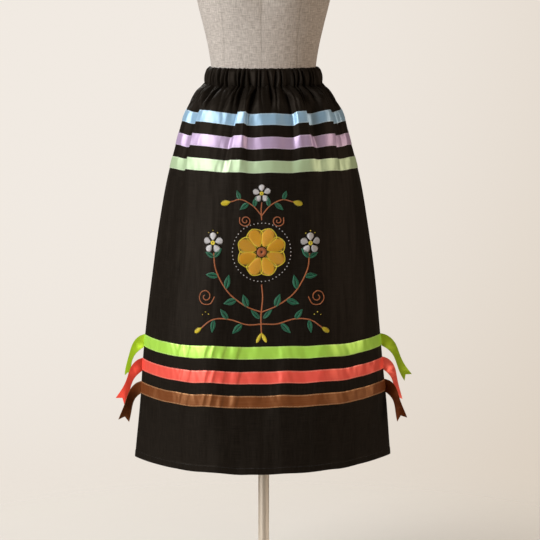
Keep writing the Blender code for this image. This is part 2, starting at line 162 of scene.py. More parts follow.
COVER_COLUMNS, COVER_ROWS, COVER_GIRTH = 320, 120, 0.70
SEAM_WIDTH, SEAM_DEPTH = 0.0011, 0.0006
FRONT_SEAM, LEFT_BUST_SEAM, RIGHT_BUST_SEAM = -0.004, -0.082, 0.0705
BUST_SEAMS_PART, BUST_SEAMS_SPREAD, BUST_SEAMS_CURVE = 1.16, 0.25, 1.5
OUTLINE_STEPS, OVAL = 400, (2.0, 2.0)


def through(stations, values, at):
    """A smooth curve through a few values, whose slope at each one comes from its neighbours."""
    slopes = np.gradient(values, stations)
    first = np.clip(np.searchsorted(stations, at) - 1, 0, len(stations) - 2)
    span = stations[first + 1] - stations[first]
    t = (at - stations[first]) / span
    rise = values[first + 1] - values[first]
    start, end = slopes[first] * span, slopes[first + 1] * span
    return values[first] + t * start + t * t * (3 * rise - 2 * start - end) + t**3 * (start + end - 2 * rise)


def sized(rows, at):
    """A table's other columns at a value of its first one, on smooth curves through its rows."""
    table = np.array(rows)
    return [through(table[:, 0], values, at) for values in table.T[1:]]


def quarter(half_width, depth, side_power, front_power, shares):
    """A quarter of a section from the side (share 0) to the centre (share 1), evenly along its length."""
    angle = np.linspace(0.0, np.pi / 2, OUTLINE_STEPS)
    x = half_width * np.cos(angle) ** (2.0 / side_power)
    y = depth * np.sin(angle) ** (2.0 / front_power)
    x[-1] = 0.0
    length = np.concatenate([[0.0], np.cumsum(np.hypot(np.diff(x), np.diff(y)))])
    return np.interp(shares * length[-1], length, x), np.interp(shares * length[-1], length, y)


def section(half_width, front_depth, back_depth, side_power, front_power, turns):
    """A section's plan points. Turn 0 is the left side, 0.25 the centre front and 0.75 the centre back."""
    turns = np.mod(turns, 1.0)
    to_side = np.abs(np.mod(turns + 0.25, 0.5) - 0.25) / 0.25
    front = turns < 0.5
    front_x, front_y = quarter(half_width, front_depth, side_power, front_power, to_side)
    back_x, back_y = quarter(half_width, back_depth, side_power, front_power, to_side)
    right = np.where((turns > 0.25) & (turns < 0.75), 1.0, -1.0)
    return np.stack([right * np.where(front, front_x, back_x), np.where(front, -front_y, back_y)], axis=1)


def form_plan(height, turns):
    """The form's plan points at one height, with the soft rise of the bust in front."""
    sizes = sized(FORM_ROWS, height)
    plan = section(*sizes, *OVAL, turns)
    level = np.exp(-(((height - BUST_HEIGHT) / BUST_SPREAD) ** 2))
    across = np.exp(-(((np.abs(plan[:, 0]) - BUST_ACROSS) / BUST_SPREAD) ** 2))
    facing = np.clip(-plan[:, 1] / sizes[1], 0.0, 1.0)
    plan[:, 1] -= BUST_RISE * level * across * facing
    return plan


def mesh_piece(name, points, faces, finish, uv=None, marks=None, crease=180.0):
    """A mesh object, smooth but for edges over crease degrees. uv and marks hold a value for each point."""
    mesh = bpy.data.meshes.new(name)
    mesh.from_pydata(np.asarray(points).tolist(), [], faces)
    if uv is not None:
        corners = np.empty(len(mesh.loops), dtype=np.int32)
        mesh.loops.foreach_get("vertex_index", corners)
        mesh.uv_layers.new(name="cloth").data.foreach_set("uv", np.asarray(uv)[corners].ravel())
    for label, values in (marks or {}).items():
        layer = mesh.attributes.new(label, "FLOAT", "POINT")
        layer.data.foreach_set("value", np.asarray(values, dtype=np.float32))
    mesh.materials.append(finish)
    mesh.shade_smooth()
    mesh.set_sharp_from_angle(angle=np.radians(crease))
    piece = bpy.data.objects.new(name, mesh)
    bpy.context.scene.collection.objects.link(piece)
    return piece


def grid_faces(rows, columns, start=0, closed=False, inside=False):
    """Quads of a grid whose rows run down and whose columns run from the viewer's left to right."""
    faces = []
    for row in range(rows - 1):
        low = start + row * columns
        for k in range(columns if closed else columns - 1):
            after = (k + 1) % columns
            face = (low + k, low + columns + k, low + columns + after, low + after)
            faces.append(face[::-1] if inside else face)
    return faces


def plain_weave(tree, long, wide, detail, spun, shades):
    """Yarns drawn as streaks along the weft and the warp: places on the cloth, the streaks, their shades."""
    cloth = add_node(tree, "ShaderNodeUVMap", {"uv_map": "cloth"}).outputs["UV"]
    streaks = []
    for across, along in ((long, wide), (wide, long)):
        spacing = (1 / across, 1 / along, 1.0)
        drawn_out = add_node(tree, "ShaderNodeMapping", {"Scale": spacing}, {"Vector": cloth})
        streak = add_node(
            tree,
            "ShaderNodeTexNoise",
            {"Scale": 1.0, "Detail": detail, "Roughness": spun},
            {"Vector": drawn_out.outputs["Vector"]},
        )
        streaks.append(streak.outputs["Fac"])
    both = add_node(tree, "ShaderNodeMath", {"operation": "ADD"}, {0: streaks[0], 1: streaks[1]})
    half = add_node(tree, "ShaderNodeMath", {"operation": "MULTIPLY", 1: 0.5}, {0: both.outputs[0]})
    ramp = add_node(tree, "ShaderNodeValToRGB", {}, {"Fac": half.outputs[0]})
    for stop, (position, shade) in zip(ramp.color_ramp.elements, shades):
        stop.position = position
        stop.color = linear(shade)
    return cloth, half.outputs[0], ramp.outputs["Color"]


# Linen is spun unevenly, so slubs run along the warp and the weft, and light catches them as short streaks.
# Its threads are drawn 1.1 mm apart, twice their own spacing, so that they show. The padding is uneven.
SLUB_LENGTH, SLUB_WIDTH, LINEN_THREAD = 0.016, 0.0018, 0.0011
UNEVEN_ACROSS, UNEVEN_ALONG = 0.024, 0.006
linen, tree, shader = new_finish(
    "natural_linen_plain_weave", {"Roughness": 0.92, "Sheen Weight": 0.12, "Specular IOR Level": 0.25}
)
cloth, slubs, slub_shades = plain_weave(
    tree, SLUB_LENGTH, SLUB_WIDTH, detail=4.0, spun=0.6, shades=((0.33, "#A0958B"), (0.68, "#EFE6DD"))
)
weave = add_node(tree, "ShaderNodeTexChecker", {"Scale": 1 / LINEN_THREAD}, {"Vector": cloth})
# The seams' grooves are darkened in the linen's colour: painted shade, where their hollows would lie in
# shadow.
seam = add_node(tree, "ShaderNodeAttribute", {"attribute_name": "seam"}).outputs["Fac"]
seam_shade_share = add_node(tree, "ShaderNodeMath", {"operation": "MULTIPLY", 1: 0.32}, {0: seam})
shaded = add_node(
    tree,
    "ShaderNodeMix",
    {"data_type": "RGBA", 7: linear("#7D7166")},
    {0: seam_shade_share.outputs[0], 6: slub_shades},
)
tree.links.new(shaded.outputs[2], shader.inputs["Base Color"])
relief = add_node(
    tree,
    "ShaderNodeMath",
    {"operation": "MULTIPLY_ADD", 1: 0.25},
    {0: weave.outputs["Fac"], 2: slubs},
)
drawn_out = add_node(
    tree, "ShaderNodeMapping", {"Scale": (1 / UNEVEN_ACROSS, 1 / UNEVEN_ALONG, 1.0)}, {"Vector": cloth}
)
swells = add_node(
    tree,
    "ShaderNodeTexNoise",
    {"Scale": 1.0, "Detail": 3.0, "Roughness": 0.6},
    {"Vector": drawn_out.outputs["Vector"]},
)
uneven = add_node(
    tree, "ShaderNodeBump", {"Strength": 1.0, "Distance": 0.0015}, {"Height": swells.outputs["Fac"]}
)
bump = add_node(
    tree,
    "ShaderNodeBump",
    {"Strength": 1.0, "Distance": 0.0013},
    {"Height": relief.outputs[0], "Normal": uneven.outputs["Normal"]},
)
tree.links.new(bump.outputs["Normal"], shader.inputs["Normal"])

turns = np.arange(COVER_COLUMNS) / COVER_COLUMNS
heights = np.linspace(FORM_ROWS[-1].height, FORM_BOTTOM, COVER_ROWS)
points, painted_seam_shades, uv = [], [], []
for height in heights:
    plan = form_plan(height, turns)
    half_width = sized(FORM_ROWS, height)[0]
    spread = BUST_SEAMS_SPREAD * max(height - BUST_SEAMS_PART, 0.0) ** BUST_SEAMS_CURVE
    groove = np.zeros(COVER_COLUMNS)
    for seam_x in (FRONT_SEAM, LEFT_BUST_SEAM - spread, RIGHT_BUST_SEAM + spread):
        groove = np.maximum(groove, np.exp(-(((plan[:, 0] - seam_x) / SEAM_WIDTH) ** 2)))
    side = np.exp(-((plan[:, 1] / SEAM_WIDTH) ** 2)) * (np.abs(plan[:, 0]) > 0.5 * half_width)
    groove = np.maximum(groove, side)
    out = plan / np.linalg.norm(plan, axis=1, keepdims=True)
    plan = plan - out * SEAM_DEPTH * groove[:, None]
    points.append(np.column_stack([plan, np.full(COVER_COLUMNS, height)]))
    # The groove also masks the painted seam shade in the linen's colour.
    painted_seam_shades.append(groove)
    from_back = np.abs(np.mod(turns + 0.25, 1.0) - 0.5)
    uv.append(np.column_stack([from_back * COVER_GIRTH, np.full(COVER_COLUMNS, height)]))
points = np.concatenate(points)
faces = grid_faces(COVER_ROWS, COVER_COLUMNS, closed=True)
faces.append(tuple(range(COVER_COLUMNS)))
last = len(points) - COVER_COLUMNS
faces.append(tuple(range(last, len(points)))[::-1])
cover = mesh_piece("form_cover", points, faces, linen, np.concatenate(uv), {"seam": np.concatenate(painted_seam_shades)})
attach(cover, "root")
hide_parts("form_torso")

# Beech is a pale, pinkish wood with dark flecks, drawn 56 mm long and 4 mm wide so that they show. Turned
# and oiled, it has a low gloss.
FLECK_LENGTH, FLECK_WIDTH = 1 / 18, 1 / 260
beech = grained(
    "beech_turned_and_oiled",
    {"Roughness": 0.42},
    sizes=(FLECK_LENGTH, FLECK_WIDTH, FLECK_WIDTH),
    detail=6.0,
    shades=("#8E6238", "#C49A68"),
    relief=(0.2, 0.0002),
)
nodes["form_neck_cap"].material_slots[0].material = beech


# ---- Panels ----
# The skirt is a front and a back panel of black plain-weave cotton, joined at the side seams. The top edge is
# gathered, the cloth falls in soft folds over the hips, and a narrow hem is turned up and machine stitched.

BAND_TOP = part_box("waistband")[1][2]
BAND_DEPTH = 0.0355
SKIRT_LENGTH = 0.825
PANEL_TOP = BAND_TOP - BAND_DEPTH
COTTON_WALL = 0.0007
SEAM_GAP = 0.0001
GATHERS = 54
PANEL_COLUMNS = 378
CENTRE_SAG, SIDE_TILT, FOLD_LIFT = 0.010, 0.004, 0.55
SAG_STARTS = 0.30

Level = namedtuple("Level", "cloth drop half_width front_depth back_depth side_power front_power")
LEVELS = (
    Level(0.000, 0.0000, 0.1215, 0.0975, 0.0955, 2.00, 2.00),
    Level(0.012, 0.0076, 0.1310, 0.1060, 0.1040, 2.00, 2.00),
    Level(0.035, 0.0264, 0.1450, 0.1180, 0.1170, 2.00, 1.95),
    Level(0.064, 0.0518, 0.1595, 0.1280, 0.1290, 2.00, 1.90),
    Level(0.118, 0.1028, 0.1785, 0.1360, 0.1390, 2.00, 1.80),
    Level(0.213, 0.1944, 0.2038, 0.1430, 0.1460, 2.05, 1.65),
    Level(0.311, 0.2907, 0.2218, 0.1455, 0.1490, 2.40, 1.45),
    Level(0.441, 0.4188, 0.2402, 0.1470, 0.1500, 3.30, 1.25),
    Level(0.565, 0.5415, 0.2540, 0.1480, 0.1510, 3.90, 1.15),
    Level(0.685, 0.6612, 0.2645, 0.1500, 0.1530, 3.10, 1.13),
    Level(0.825, 0.8006, 0.2768, 0.1550, 0.1570, 2.30, 1.12),
)

# A fold's crest lies at one turn by the first ribbon and at another by the third, at HIP_ROWS down the
# cloth. Its flanks are as wide as given at the first ribbon and grow by spread towards the third. It has
# opened fully at one cloth distance and has faded out at the other.
Fold = namedtuple("Fold", "turn_first turn_third half_top left_flank right_flank spread height opens fades")
HIP_ROWS = (0.082, 0.183)
FOLDS = (
    Fold(0.036, 0.040, 0.010, 0.020, 0.018, 1.3, 0.0050, 0.095, 0.30),
    Fold(0.109, 0.099, 0.011, 0.006, 0.064, 1.3, 0.0120, 0.062, 0.31),
    Fold(0.166, 0.166, 0.005, 0.010, 0.010, 1.2, 0.0055, 0.030, 0.07),
    Fold(0.202, 0.195, 0.008, 0.006, 0.006, 3.2, 0.0110, 0.045, 0.27),
    Fold(0.262, 0.266, 0.012, 0.026, 0.026, 1.2, 0.0040, 0.045, 0.32),
    Fold(0.300, 0.300, 0.005, 0.009, 0.010, 1.2, 0.0045, 0.030, 0.07),
    Fold(0.335, 0.340, 0.010, 0.008, 0.007, 3.0, 0.0110, 0.045, 0.26),
    Fold(0.376, 0.380, 0.005, 0.009, 0.009, 1.2, 0.0045, 0.030, 0.07),
    Fold(0.408, 0.404, 0.004, 0.046, 0.006, 2.2, 0.0120, 0.045, 0.25),
    Fold(0.462, 0.460, 0.009, 0.014, 0.018, 1.3, 0.0060, 0.100, 0.30),
    Fold(0.540, 0.548, 0.009, 0.012, 0.022, 1.6, 0.0090, 0.100, 0.32),
    Fold(0.604, 0.600, 0.008, 0.012, 0.012, 1.4, 0.0060, 0.045, 0.30),
    Fold(0.662, 0.668, 0.010, 0.008, 0.022, 1.8, 0.0110, 0.045, 0.34),
    Fold(0.728, 0.726, 0.010, 0.018, 0.016, 1.3, 0.0050, 0.045, 0.30),
    Fold(0.790, 0.796, 0.009, 0.007, 0.022, 1.8, 0.0110, 0.045, 0.33),
    Fold(0.856, 0.850, 0.008, 0.014, 0.012, 1.4, 0.0060, 0.045, 0.30),
    Fold(0.918, 0.904, 0.010, 0.022, 0.008, 1.7, 0.0110, 0.045, 0.34),
    Fold(0.970, 0.966, 0.007, 0.014, 0.012, 1.3, 0.0050, 0.095, 0.28),
)
# A fold begins just under the band and keeps its height over a share of its reach. Its crest and its flanks
# go on changing above the first ribbon and below the third only as far as these limits.
FOLD_STARTS, FOLD_KEEPS = 0.002, 0.3
FOLD_DRIFTS, FOLD_WIDENS = (-0.5, 1.6), (0.0, 2.0)

# A wave has its count in a turn, a phase, and a drift of that phase for each metre down the cloth.
Wave = namedtuple("Wave", "count phase drift height")
WAVES = (Wave(7, 0.6, 0.0, 0.0016), Wave(11, 2.2, 0.0, 0.0012), Wave(16, 4.2, 0.0, 0.0010))
WAVES_START, WAVES_FULL = 0.18, 0.60
RUMPLES = (Wave(17, 0.4, 14.0, 0.0007), Wave(23, 1.9, 14.0, 0.0004), Wave(38, 3.3, 14.0, 0.0001))
RUMPLES_FULL, RUMPLE_SWAY, RUMPLE_SWAYS = 0.06, 2.0, 9.0

# Gathers are unevenly spaced, lean to one side or the other, and differ in depth. These heights are shares
# of a turn, of a gather and of the full depth.
GATHER_SPACING = (Wave(3, 0.0, 0.0, 0.0024), Wave(7, 0.0, 0.0, 0.0016), Wave(13, 0.0, 0.0, 0.0009))
GATHER_LEANS = (Wave(17, 0.0, 30.0, 0.22), Wave(29, 0.0, -36.0, 0.14))
GATHER_DEPTH, GATHER_DEPTHS = 0.90, (Wave(11, 1.0, 0.0, 0.18), Wave(25, 0.0, 30.0, 0.14))
LONG_DRIFTS = (Wave(5, 1.3, 0.0, 0.30), Wave(9, 0.0, 0.0, 0.20))
LONG_DEPTH, LONG_DEPTHS = 0.74, (Wave(6, -1.5, 0.0, 0.20), Wave(19, 0.0, 0.0, 0.12))
PINCHES = (Wave(19, 0.8, 0.0, 1.0), Wave(33, 2.1, 0.0, 0.8), Wave(61, 0.0, 0.0, 0.5))
PLEAT_SIZE, PLEAT_ROUND, PLEAT_SUNK = 1.75, 0.008, 1.05
GATHER_HEIGHT, GATHER_FADES = 0.0052, 0.082
PINCH_HEIGHT, PINCH_REACH = 0.0017, 0.010
LONG_HEIGHT, LONG_FULL, LONG_FADES = 0.0092, 0.018, 0.085
HEM_DEPTH, HEM_SWELL, HEM_FOLD = 0.015, 0.0006, 0.002
TURN_STEP = 0.002


def smooth(share):
    """Eases from 0 to 1."""
    share = np.clip(share, 0.0, 1.0)
    return share * share * (3.0 - 2.0 * share)


def rippled(waves, share, cloth=0.0):
    """How high a few waves stand together at one share of a turn."""
    return sum(
        wave.height * np.sin(2 * np.pi * wave.count * share + wave.phase + wave.drift * cloth)
        for wave in waves
    )


def turn_of(gathers):
    """The turn at which a gather lies, unevenly spaced."""
    share = gathers / GATHERS
    return share + rippled(GATHER_SPACING, share)


def pleated(phase):
    """Rounded crests at whole numbers with narrow valleys between them, from -0.89 to 0.71."""
    return PLEAT_SIZE * np.sqrt(np.cos(np.pi * phase) ** 2 + PLEAT_ROUND) - PLEAT_SUNK


def leaning(gathers, cloth):
    """Gathers with their lean to one side added, in gathers."""
    return gathers + rippled(GATHER_LEANS, gathers / GATHERS, cloth)


def gather_rise(gathers, cloth):
    """How far the small gathers stand out, at a cloth distance that is negative in the band."""
    deep = GATHER_DEPTH + rippled(GATHER_DEPTHS, gathers / GATHERS, cloth)
    return deep * pleated(leaning(gathers, cloth))


def long_gather_rise(gathers, cloth):
    """How far the longer gathers stand out. The small ones run together into them in pairs below the band."""
    share = gathers / GATHERS
    drift = smooth(cloth / LONG_FADES) * rippled(LONG_DRIFTS, share)
    deep = LONG_DEPTH + rippled(LONG_DEPTHS, share)
    return deep * pleated(leaning(gathers, cloth) / 2 + 0.25 + drift)


def fold_rise(turns, cloth):
    """How far the large folds, the slow waves and the rumples stand out at one cloth distance."""
    lower = (cloth - HIP_ROWS[0]) / (HIP_ROWS[1] - HIP_ROWS[0])
    rise = np.zeros_like(turns)
    for fold in FOLDS:
        middle = fold.turn_first + (fold.turn_third - fold.turn_first) * np.clip(lower, *FOLD_DRIFTS)
        wider = 1.0 + (fold.spread - 1.0) * np.clip(lower, *FOLD_WIDENS)
        away = np.mod(turns - middle + 0.5, 1.0) - 0.5
        flank = np.where(away < 0, fold.left_flank, fold.right_flank) * wider
        opened = smooth((cloth - FOLD_STARTS) / (fold.opens - FOLD_STARTS))
        lasts = 1.0 - smooth((cloth / fold.fades - FOLD_KEEPS) / (1.0 - FOLD_KEEPS))
        rise += fold.height * opened * lasts * (1.0 - smooth((np.abs(away) - fold.half_top) / flank))
    low = smooth((cloth - WAVES_START) / (WAVES_FULL - WAVES_START))
    rise += low * rippled(WAVES, turns)
    loose = smooth(cloth / RUMPLES_FULL)
    for wave in RUMPLES:
        phase = RUMPLE_SWAY * np.sin(RUMPLE_SWAYS * cloth + wave.phase) + wave.drift * cloth
        rise += loose * wave.height * np.sin(2 * np.pi * wave.count * turns + phase)
    return rise


def pinch_rise(gathers):
    """How unevenly the casing's lower stitch runs up and down, drawn in by the elastic."""
    return PINCH_HEIGHT * rippled(PINCHES, gathers / GATHERS)


def outward(sizes, turns):
    """Unit vectors in plan that point straight out of a section."""
    along = section(*sizes, turns + TURN_STEP) - section(*sizes, turns - TURN_STEP)
    out = np.stack([along[:, 1], -along[:, 0]], axis=1)
    return out / np.linalg.norm(out, axis=1, keepdims=True)


def hang(gathers, cloths):
    """The outer face of the skirt: points and outward plan vectors, by cloth distance and then by gather."""
    turns = turn_of(gathers)
    from_side = np.abs(np.mod(turns + 0.25, 0.5) - 0.25) / 0.25
    points, square = [], []
    for cloth in cloths:
        drop, *sizes = sized(LEVELS, cloth)
        out = outward(sizes, turns)
        folded = fold_rise(turns, cloth)
        gathered = GATHER_HEIGHT * (1.0 - smooth(cloth / GATHER_FADES)) * gather_rise(gathers, cloth)
        lasts = smooth(cloth / LONG_FULL) * (1.0 - smooth((cloth - LONG_FULL) / (LONG_FADES - LONG_FULL)))
        gathered += LONG_HEIGHT * lasts * long_gather_rise(gathers, cloth)
        above_edge = SKIRT_LENGTH - cloth
        turned_up = smooth((HEM_DEPTH + HEM_FOLD / 2 - above_edge) / HEM_FOLD)
        hem = HEM_SWELL * (turned_up - smooth((HEM_FOLD - above_edge) / HEM_FOLD))
        plan = section(*sizes, turns) + out * (folded + gathered + hem)[:, None]
        low = smooth((cloth - SAG_STARTS) / (SKIRT_LENGTH - SAG_STARTS))
        level = low * (SIDE_TILT * plan[:, 0] / sizes[0] - CENTRE_SAG * (1.0 - (1.0 - from_side) ** 2))
        pinched = pinch_rise(gathers) * (1.0 - smooth(cloth / PINCH_REACH))
        points.append(np.column_stack([plan, PANEL_TOP - drop + level + FOLD_LIFT * folded + pinched]))
        square.append(out)
    return np.array(points), np.array(square)


def moved_out(points, square, distance):
    """Points moved out in plan, square to the cloth."""
    moved = points.copy()
    moved[..., :2] += square * distance
    return moved


def kept_to_side(points, front):
    """Holds a panel's points to its own side of the side seams."""
    kept = points.copy()
    middle = SEAM_GAP / 2
    kept[..., 1] = np.minimum(kept[..., 1], -middle) if front else np.maximum(kept[..., 1], middle)
    return kept


RIM_CREASE = 70.0


def shell(name, face, lining, uv, finish, marks=None):
    """A closed shell between two grids of points, the face turned outwards and the lining inwards."""
    rows, columns = face.shape[:2]
    count = rows * columns
    faces = grid_faces(rows, columns) + grid_faces(rows, columns, count, inside=True)
    rims = (
        (range(columns), False),
        (range(count - columns, count), True),
        (range(0, count, columns), True),
        (range(columns - 1, count, columns), False),
    )
    for rim, turned in rims:
        strip = [(a, b, b + count, a + count) for a, b in zip(rim, rim[1:])]
        faces += [quad[::-1] for quad in strip] if turned else strip
    points = np.concatenate([face.reshape(-1, 3), lining.reshape(-1, 3)])
    uv = np.concatenate([uv.reshape(-1, 2)] * 2)
    return mesh_piece(name, points, faces, finish, uv, marks, RIM_CREASE)


def cloth_uv(points):
    """Distances along each row and down each column of a grid, in metres."""
    along = np.linalg.norm(np.diff(points, axis=1), axis=2)
    down = np.linalg.norm(np.diff(points, axis=0), axis=2)
    u = np.concatenate([np.zeros((len(points), 1)), np.cumsum(along, axis=1)], axis=1)
    u -= u[:, u.shape[1] // 2][:, None]
    v = np.concatenate([np.zeros((1, points.shape[1])), np.cumsum(down, axis=0)], axis=0)
    return np.stack([u, -v.mean(axis=1, keepdims=True) + 0 * u], axis=2)


# Washed cotton is nearly matt. Its threads are 0.35 mm apart, drawn here 1 mm apart so that they show, with
# paler yarns here and there. It is never quite flat, and catches a faint warm light on its folds.
COTTON_THREAD, COTTON_YARN = 0.0010, 0.035
SWELL_ACROSS, SWELL_ALONG = 0.035, 0.260
cotton, tree, shader = new_finish(
    "black_cotton_plain_weave",
    {"Roughness": 0.52, "Specular IOR Level": 0.09, "Specular Tint": linear("#EBD6C2")},
)
cloth, yarns, yarn_shades = plain_weave(
    tree, COTTON_YARN, COTTON_THREAD, detail=2.0, spun=0.5, shades=((0.36, "#100D0A"), (0.68, "#221D18"))
)
tree.links.new(yarn_shades, shader.inputs["Base Color"])
drawn_out = add_node(
    tree, "ShaderNodeMapping", {"Scale": (1 / SWELL_ACROSS, 1 / SWELL_ALONG, 1.0)}, {"Vector": cloth}
)
swells = add_node(
    tree, "ShaderNodeTexNoise", {"Scale": 1.0, "Detail": 2.0}, {"Vector": drawn_out.outputs["Vector"]}
)
worn = add_node(
    tree, "ShaderNodeBump", {"Strength": 1.0, "Distance": 0.006}, {"Height": swells.outputs["Fac"]}
)
bump = add_node(
    tree,
    "ShaderNodeBump",
    {"Strength": 0.5, "Distance": 0.0005},
    {"Height": yarns, "Normal": worn.outputs["Normal"]},
)
tree.links.new(bump.outputs["Normal"], shader.inputs["Normal"])

# The rows of points are closest over the hips, and follow the hem's fold at the edge.
HIPS_END, HIP_STEPS, LOWER_STEPS, HEM_STARTS = 0.20, 43, 61, 0.018
HEM_ROWS = np.array([0.0160, 0.0150, 0.0140, 0.0120, 0.0080, 0.0030, 0.0012, 0.0])
hip_cloths = HIPS_END * np.linspace(0.0, 1.0, HIP_STEPS, endpoint=False)
lower_cloths = np.linspace(HIPS_END, SKIRT_LENGTH - HEM_STARTS, LOWER_STEPS)
panel_cloths = np.concatenate([hip_cloths, lower_cloths, SKIRT_LENGTH - HEM_ROWS])
half_round = np.linspace(0.0, GATHERS / 2, PANEL_COLUMNS + 1)
side_gathers = {"front": half_round, "back": GATHERS / 2 + half_round}
panels, panel_grids = {}, {}
for side, gathers in side_gathers.items():
    face, square = hang(gathers, panel_cloths)
    panel_grids[side] = (face, square)
    lining = kept_to_side(moved_out(face, square, -COTTON_WALL), side == "front")
    face = kept_to_side(face, side == "front")
    piece = shell(f"{side}_panel_cotton", face, lining, cloth_uv(face), cotton)
    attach(piece, "root")
    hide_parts(f"{side}_panel")
    panels[side] = piece


def worn_on(side):
    """A function that puts places in metres across and down a panel's cloth on it, and its columns' reach."""
    face, square = panel_grids[side]
    reach = np.cumsum(np.linalg.norm(np.diff(face, axis=1), axis=2), axis=1)
    reach = np.pad(reach, ((0, 0), (1, 0)))
    reach -= reach[:, PANEL_COLUMNS // 2][:, None]
    lanes = np.arange(reach.shape[1])

    def worn(flat, lift):
        row = np.searchsorted(panel_cloths, flat[:, 1], side="right") - 1
        row = np.clip(row, 0, len(panel_cloths) - 2)
        down = (flat[:, 1] - panel_cloths[row]) / (panel_cloths[row + 1] - panel_cloths[row])
        lane = np.empty(len(flat))
        for k in np.unique(row):
            here = row == k
            above, below = [np.interp(flat[here, 0], reach[r], lanes) for r in (k, k + 1)]
            lane[here] = above + down[here] * (below - above)
        left = np.clip(lane.astype(int), 0, len(lanes) - 2)
        across, down = (lane - left)[:, None], down[:, None]
        worn_grids = []
        for grid in (face, square):
            above = grid[row, left] * (1 - across) + grid[row, left + 1] * across
            below = grid[row + 1, left] * (1 - across) + grid[row + 1, left + 1] * across
            worn_grids.append(above * (1 - down) + below * down)
        return moved_out(*worn_grids, lift)

    return worn, reach


worn_panels = {side: worn_on(side) for side in panels}
# Steps of the golden section spread the painted sheen of the stitches evenly, and no two stitches side by
# side match.
SHEEN_STEP = 0.618034


def stitched(name, side, stitches, width, height, lift, finish, stations):
    """Arched strands of thread, each between a pair of flat places, at their full height at the stations."""
    worn, _ = worn_panels[side]
    start, end = np.asarray(stitches)[:, 0], np.asarray(stitches)[:, 1]
    along = end - start
    beside = np.column_stack([-along[:, 1], along[:, 0]]) * width / 2
    beside /= np.linalg.norm(along, axis=1)[:, None]
    rings = [worn(start, lift)]
    for share in stations:
        middle = start + along * share
        rings += [worn(middle - beside, lift), worn(middle, lift + height), worn(middle + beside, lift)]
    rings.append(worn(end, lift))
    last = 3 * len(stations) + 1
    pattern = [(0, 2, 1), (0, 3, 2), (0, 1, 3)]
    for k in range(1, last - 3, 3):
        pattern += [(k, k + 1, k + 4, k + 3), (k + 1, k + 2, k + 5, k + 4), (k + 2, k, k + 3, k + 5)]
    pattern += [(last, last - 3, last - 2), (last, last - 2, last - 1), (last, last - 1, last - 3)]
    points = np.stack(rings, axis=1).reshape(-1, 3)
    starts = np.arange(len(start)) * (last + 1)
    faces = [tuple(first + corner for corner in face) for first in starts.tolist() for face in pattern]
    tint = np.repeat(np.arange(len(start)) * SHEEN_STEP % 1.0, last + 1)
    piece = mesh_piece(name, points, faces, finish, marks={"tint": tint})
    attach(piece, "root")
    return piece


# A thread's twist is painted as sheen 1.1 mm long, coarser than it is, so that it shows.
TWIST = 1 / 900


def thread(name, shade, light, roughness, gloss=0.5):
    """Twisted thread with painted sheen: each stitch, and each turn of its twist, is painted paler as though
    it shone at its own angle.
    """
    settings = {"Roughness": roughness, "Sheen Weight": 0.15, "Specular IOR Level": gloss}
    finish, tree, shader = new_finish(name, settings)
    tint = add_node(tree, "ShaderNodeAttribute", {"attribute_name": "tint"}).outputs["Fac"]
    place = add_node(tree, "ShaderNodeTexCoord").outputs["Object"]
    twist = add_node(tree, "ShaderNodeTexNoise", {"Scale": 1 / TWIST, "Detail": 1.0}, {"Vector": place})
    both = add_node(
        tree, "ShaderNodeMath", {"operation": "MULTIPLY_ADD", 1: 0.5}, {0: tint, 2: twist.outputs["Fac"]}
    )
    sheen_share = add_node(
        tree, "ShaderNodeMath", {"operation": "SUBTRACT", "use_clamp": True, 1: 0.25}, {0: both.outputs[0]}
    )
    tone = add_node(
        tree,
        "ShaderNodeMix",
        {"data_type": "RGBA", 6: linear(shade), 7: linear(light)},
        {0: sheen_share.outputs[0]},
    )
    tree.links.new(tone.outputs[2], shader.inputs["Base Color"])
    return finish


SEWING_STITCH, SEWING_GAP, SEWING_THREAD, SEWING_RISE = 0.0026, 0.0007, 0.0006, 0.0003
SEWING_STATIONS, SEAM_MARGIN = (0.3, 0.7), 0.003
HEM_LINE = SKIRT_LENGTH - HEM_DEPTH + 0.0012


def sewn_line(side, cloth):
    """Machine stitches across the whole of a panel at one cloth distance."""
    _, reach = worn_panels[side]
    row = np.searchsorted(panel_cloths, cloth) - 1
    first, last = reach[row, 0] + SEAM_MARGIN, reach[row, -1] - SEAM_MARGIN
    places = np.arange(first, last, SEWING_STITCH + SEWING_GAP)
    return [((place, cloth), (place + SEWING_STITCH, cloth)) for place in places]


black_thread = thread("black_polyester_sewing_thread", "#060504", "#14110F", roughness=0.7, gloss=0.1)
for side in panels:
    line = sewn_line(side, HEM_LINE)
    name = f"hem_stitching_{side}"
    stitched(name, side, line, SEWING_THREAD, SEWING_RISE, HEM_SWELL / 2, black_thread, SEWING_STATIONS)


# ---- Waistband ----
# The waistband is the top of the same cotton, turned down as a casing over 32 mm elastic. The stitch below it
# pinches the cloth, and the elastic draws it into small uneven ridges that lean and run on into the panels.

BandRow = namedtuple("BandRow", "drop half_width depth gather")
BAND_ROWS = (
    BandRow(0.0000, 0.1142, 0.0887, 0.0004),
    BandRow(0.0035, 0.1178, 0.0930, 0.0022),
    BandRow(0.0115, 0.1206, 0.0962, 0.0042),
    BandRow(0.0300, 0.1220, 0.0984, 0.0046),
    BandRow(BAND_DEPTH, 0.1213, 0.0975, 0.0044),
)
BAND_DROPS = (
    *(0.0, 0.0004, 0.0012, 0.0024, 0.0040, 0.0062, 0.0090, 0.0125),
    *(0.0165, 0.0205, 0.0245, 0.0285, 0.0315, 0.0335, 0.0348, BAND_DEPTH),
)
BAND_STEPS_PER_GATHER = 16
TOP_SCALLOP, TOP_ROUND = 0.0019, 0.008
BAND_CLEAR = 0.0008
LINING_V = (0.06, 0.10)

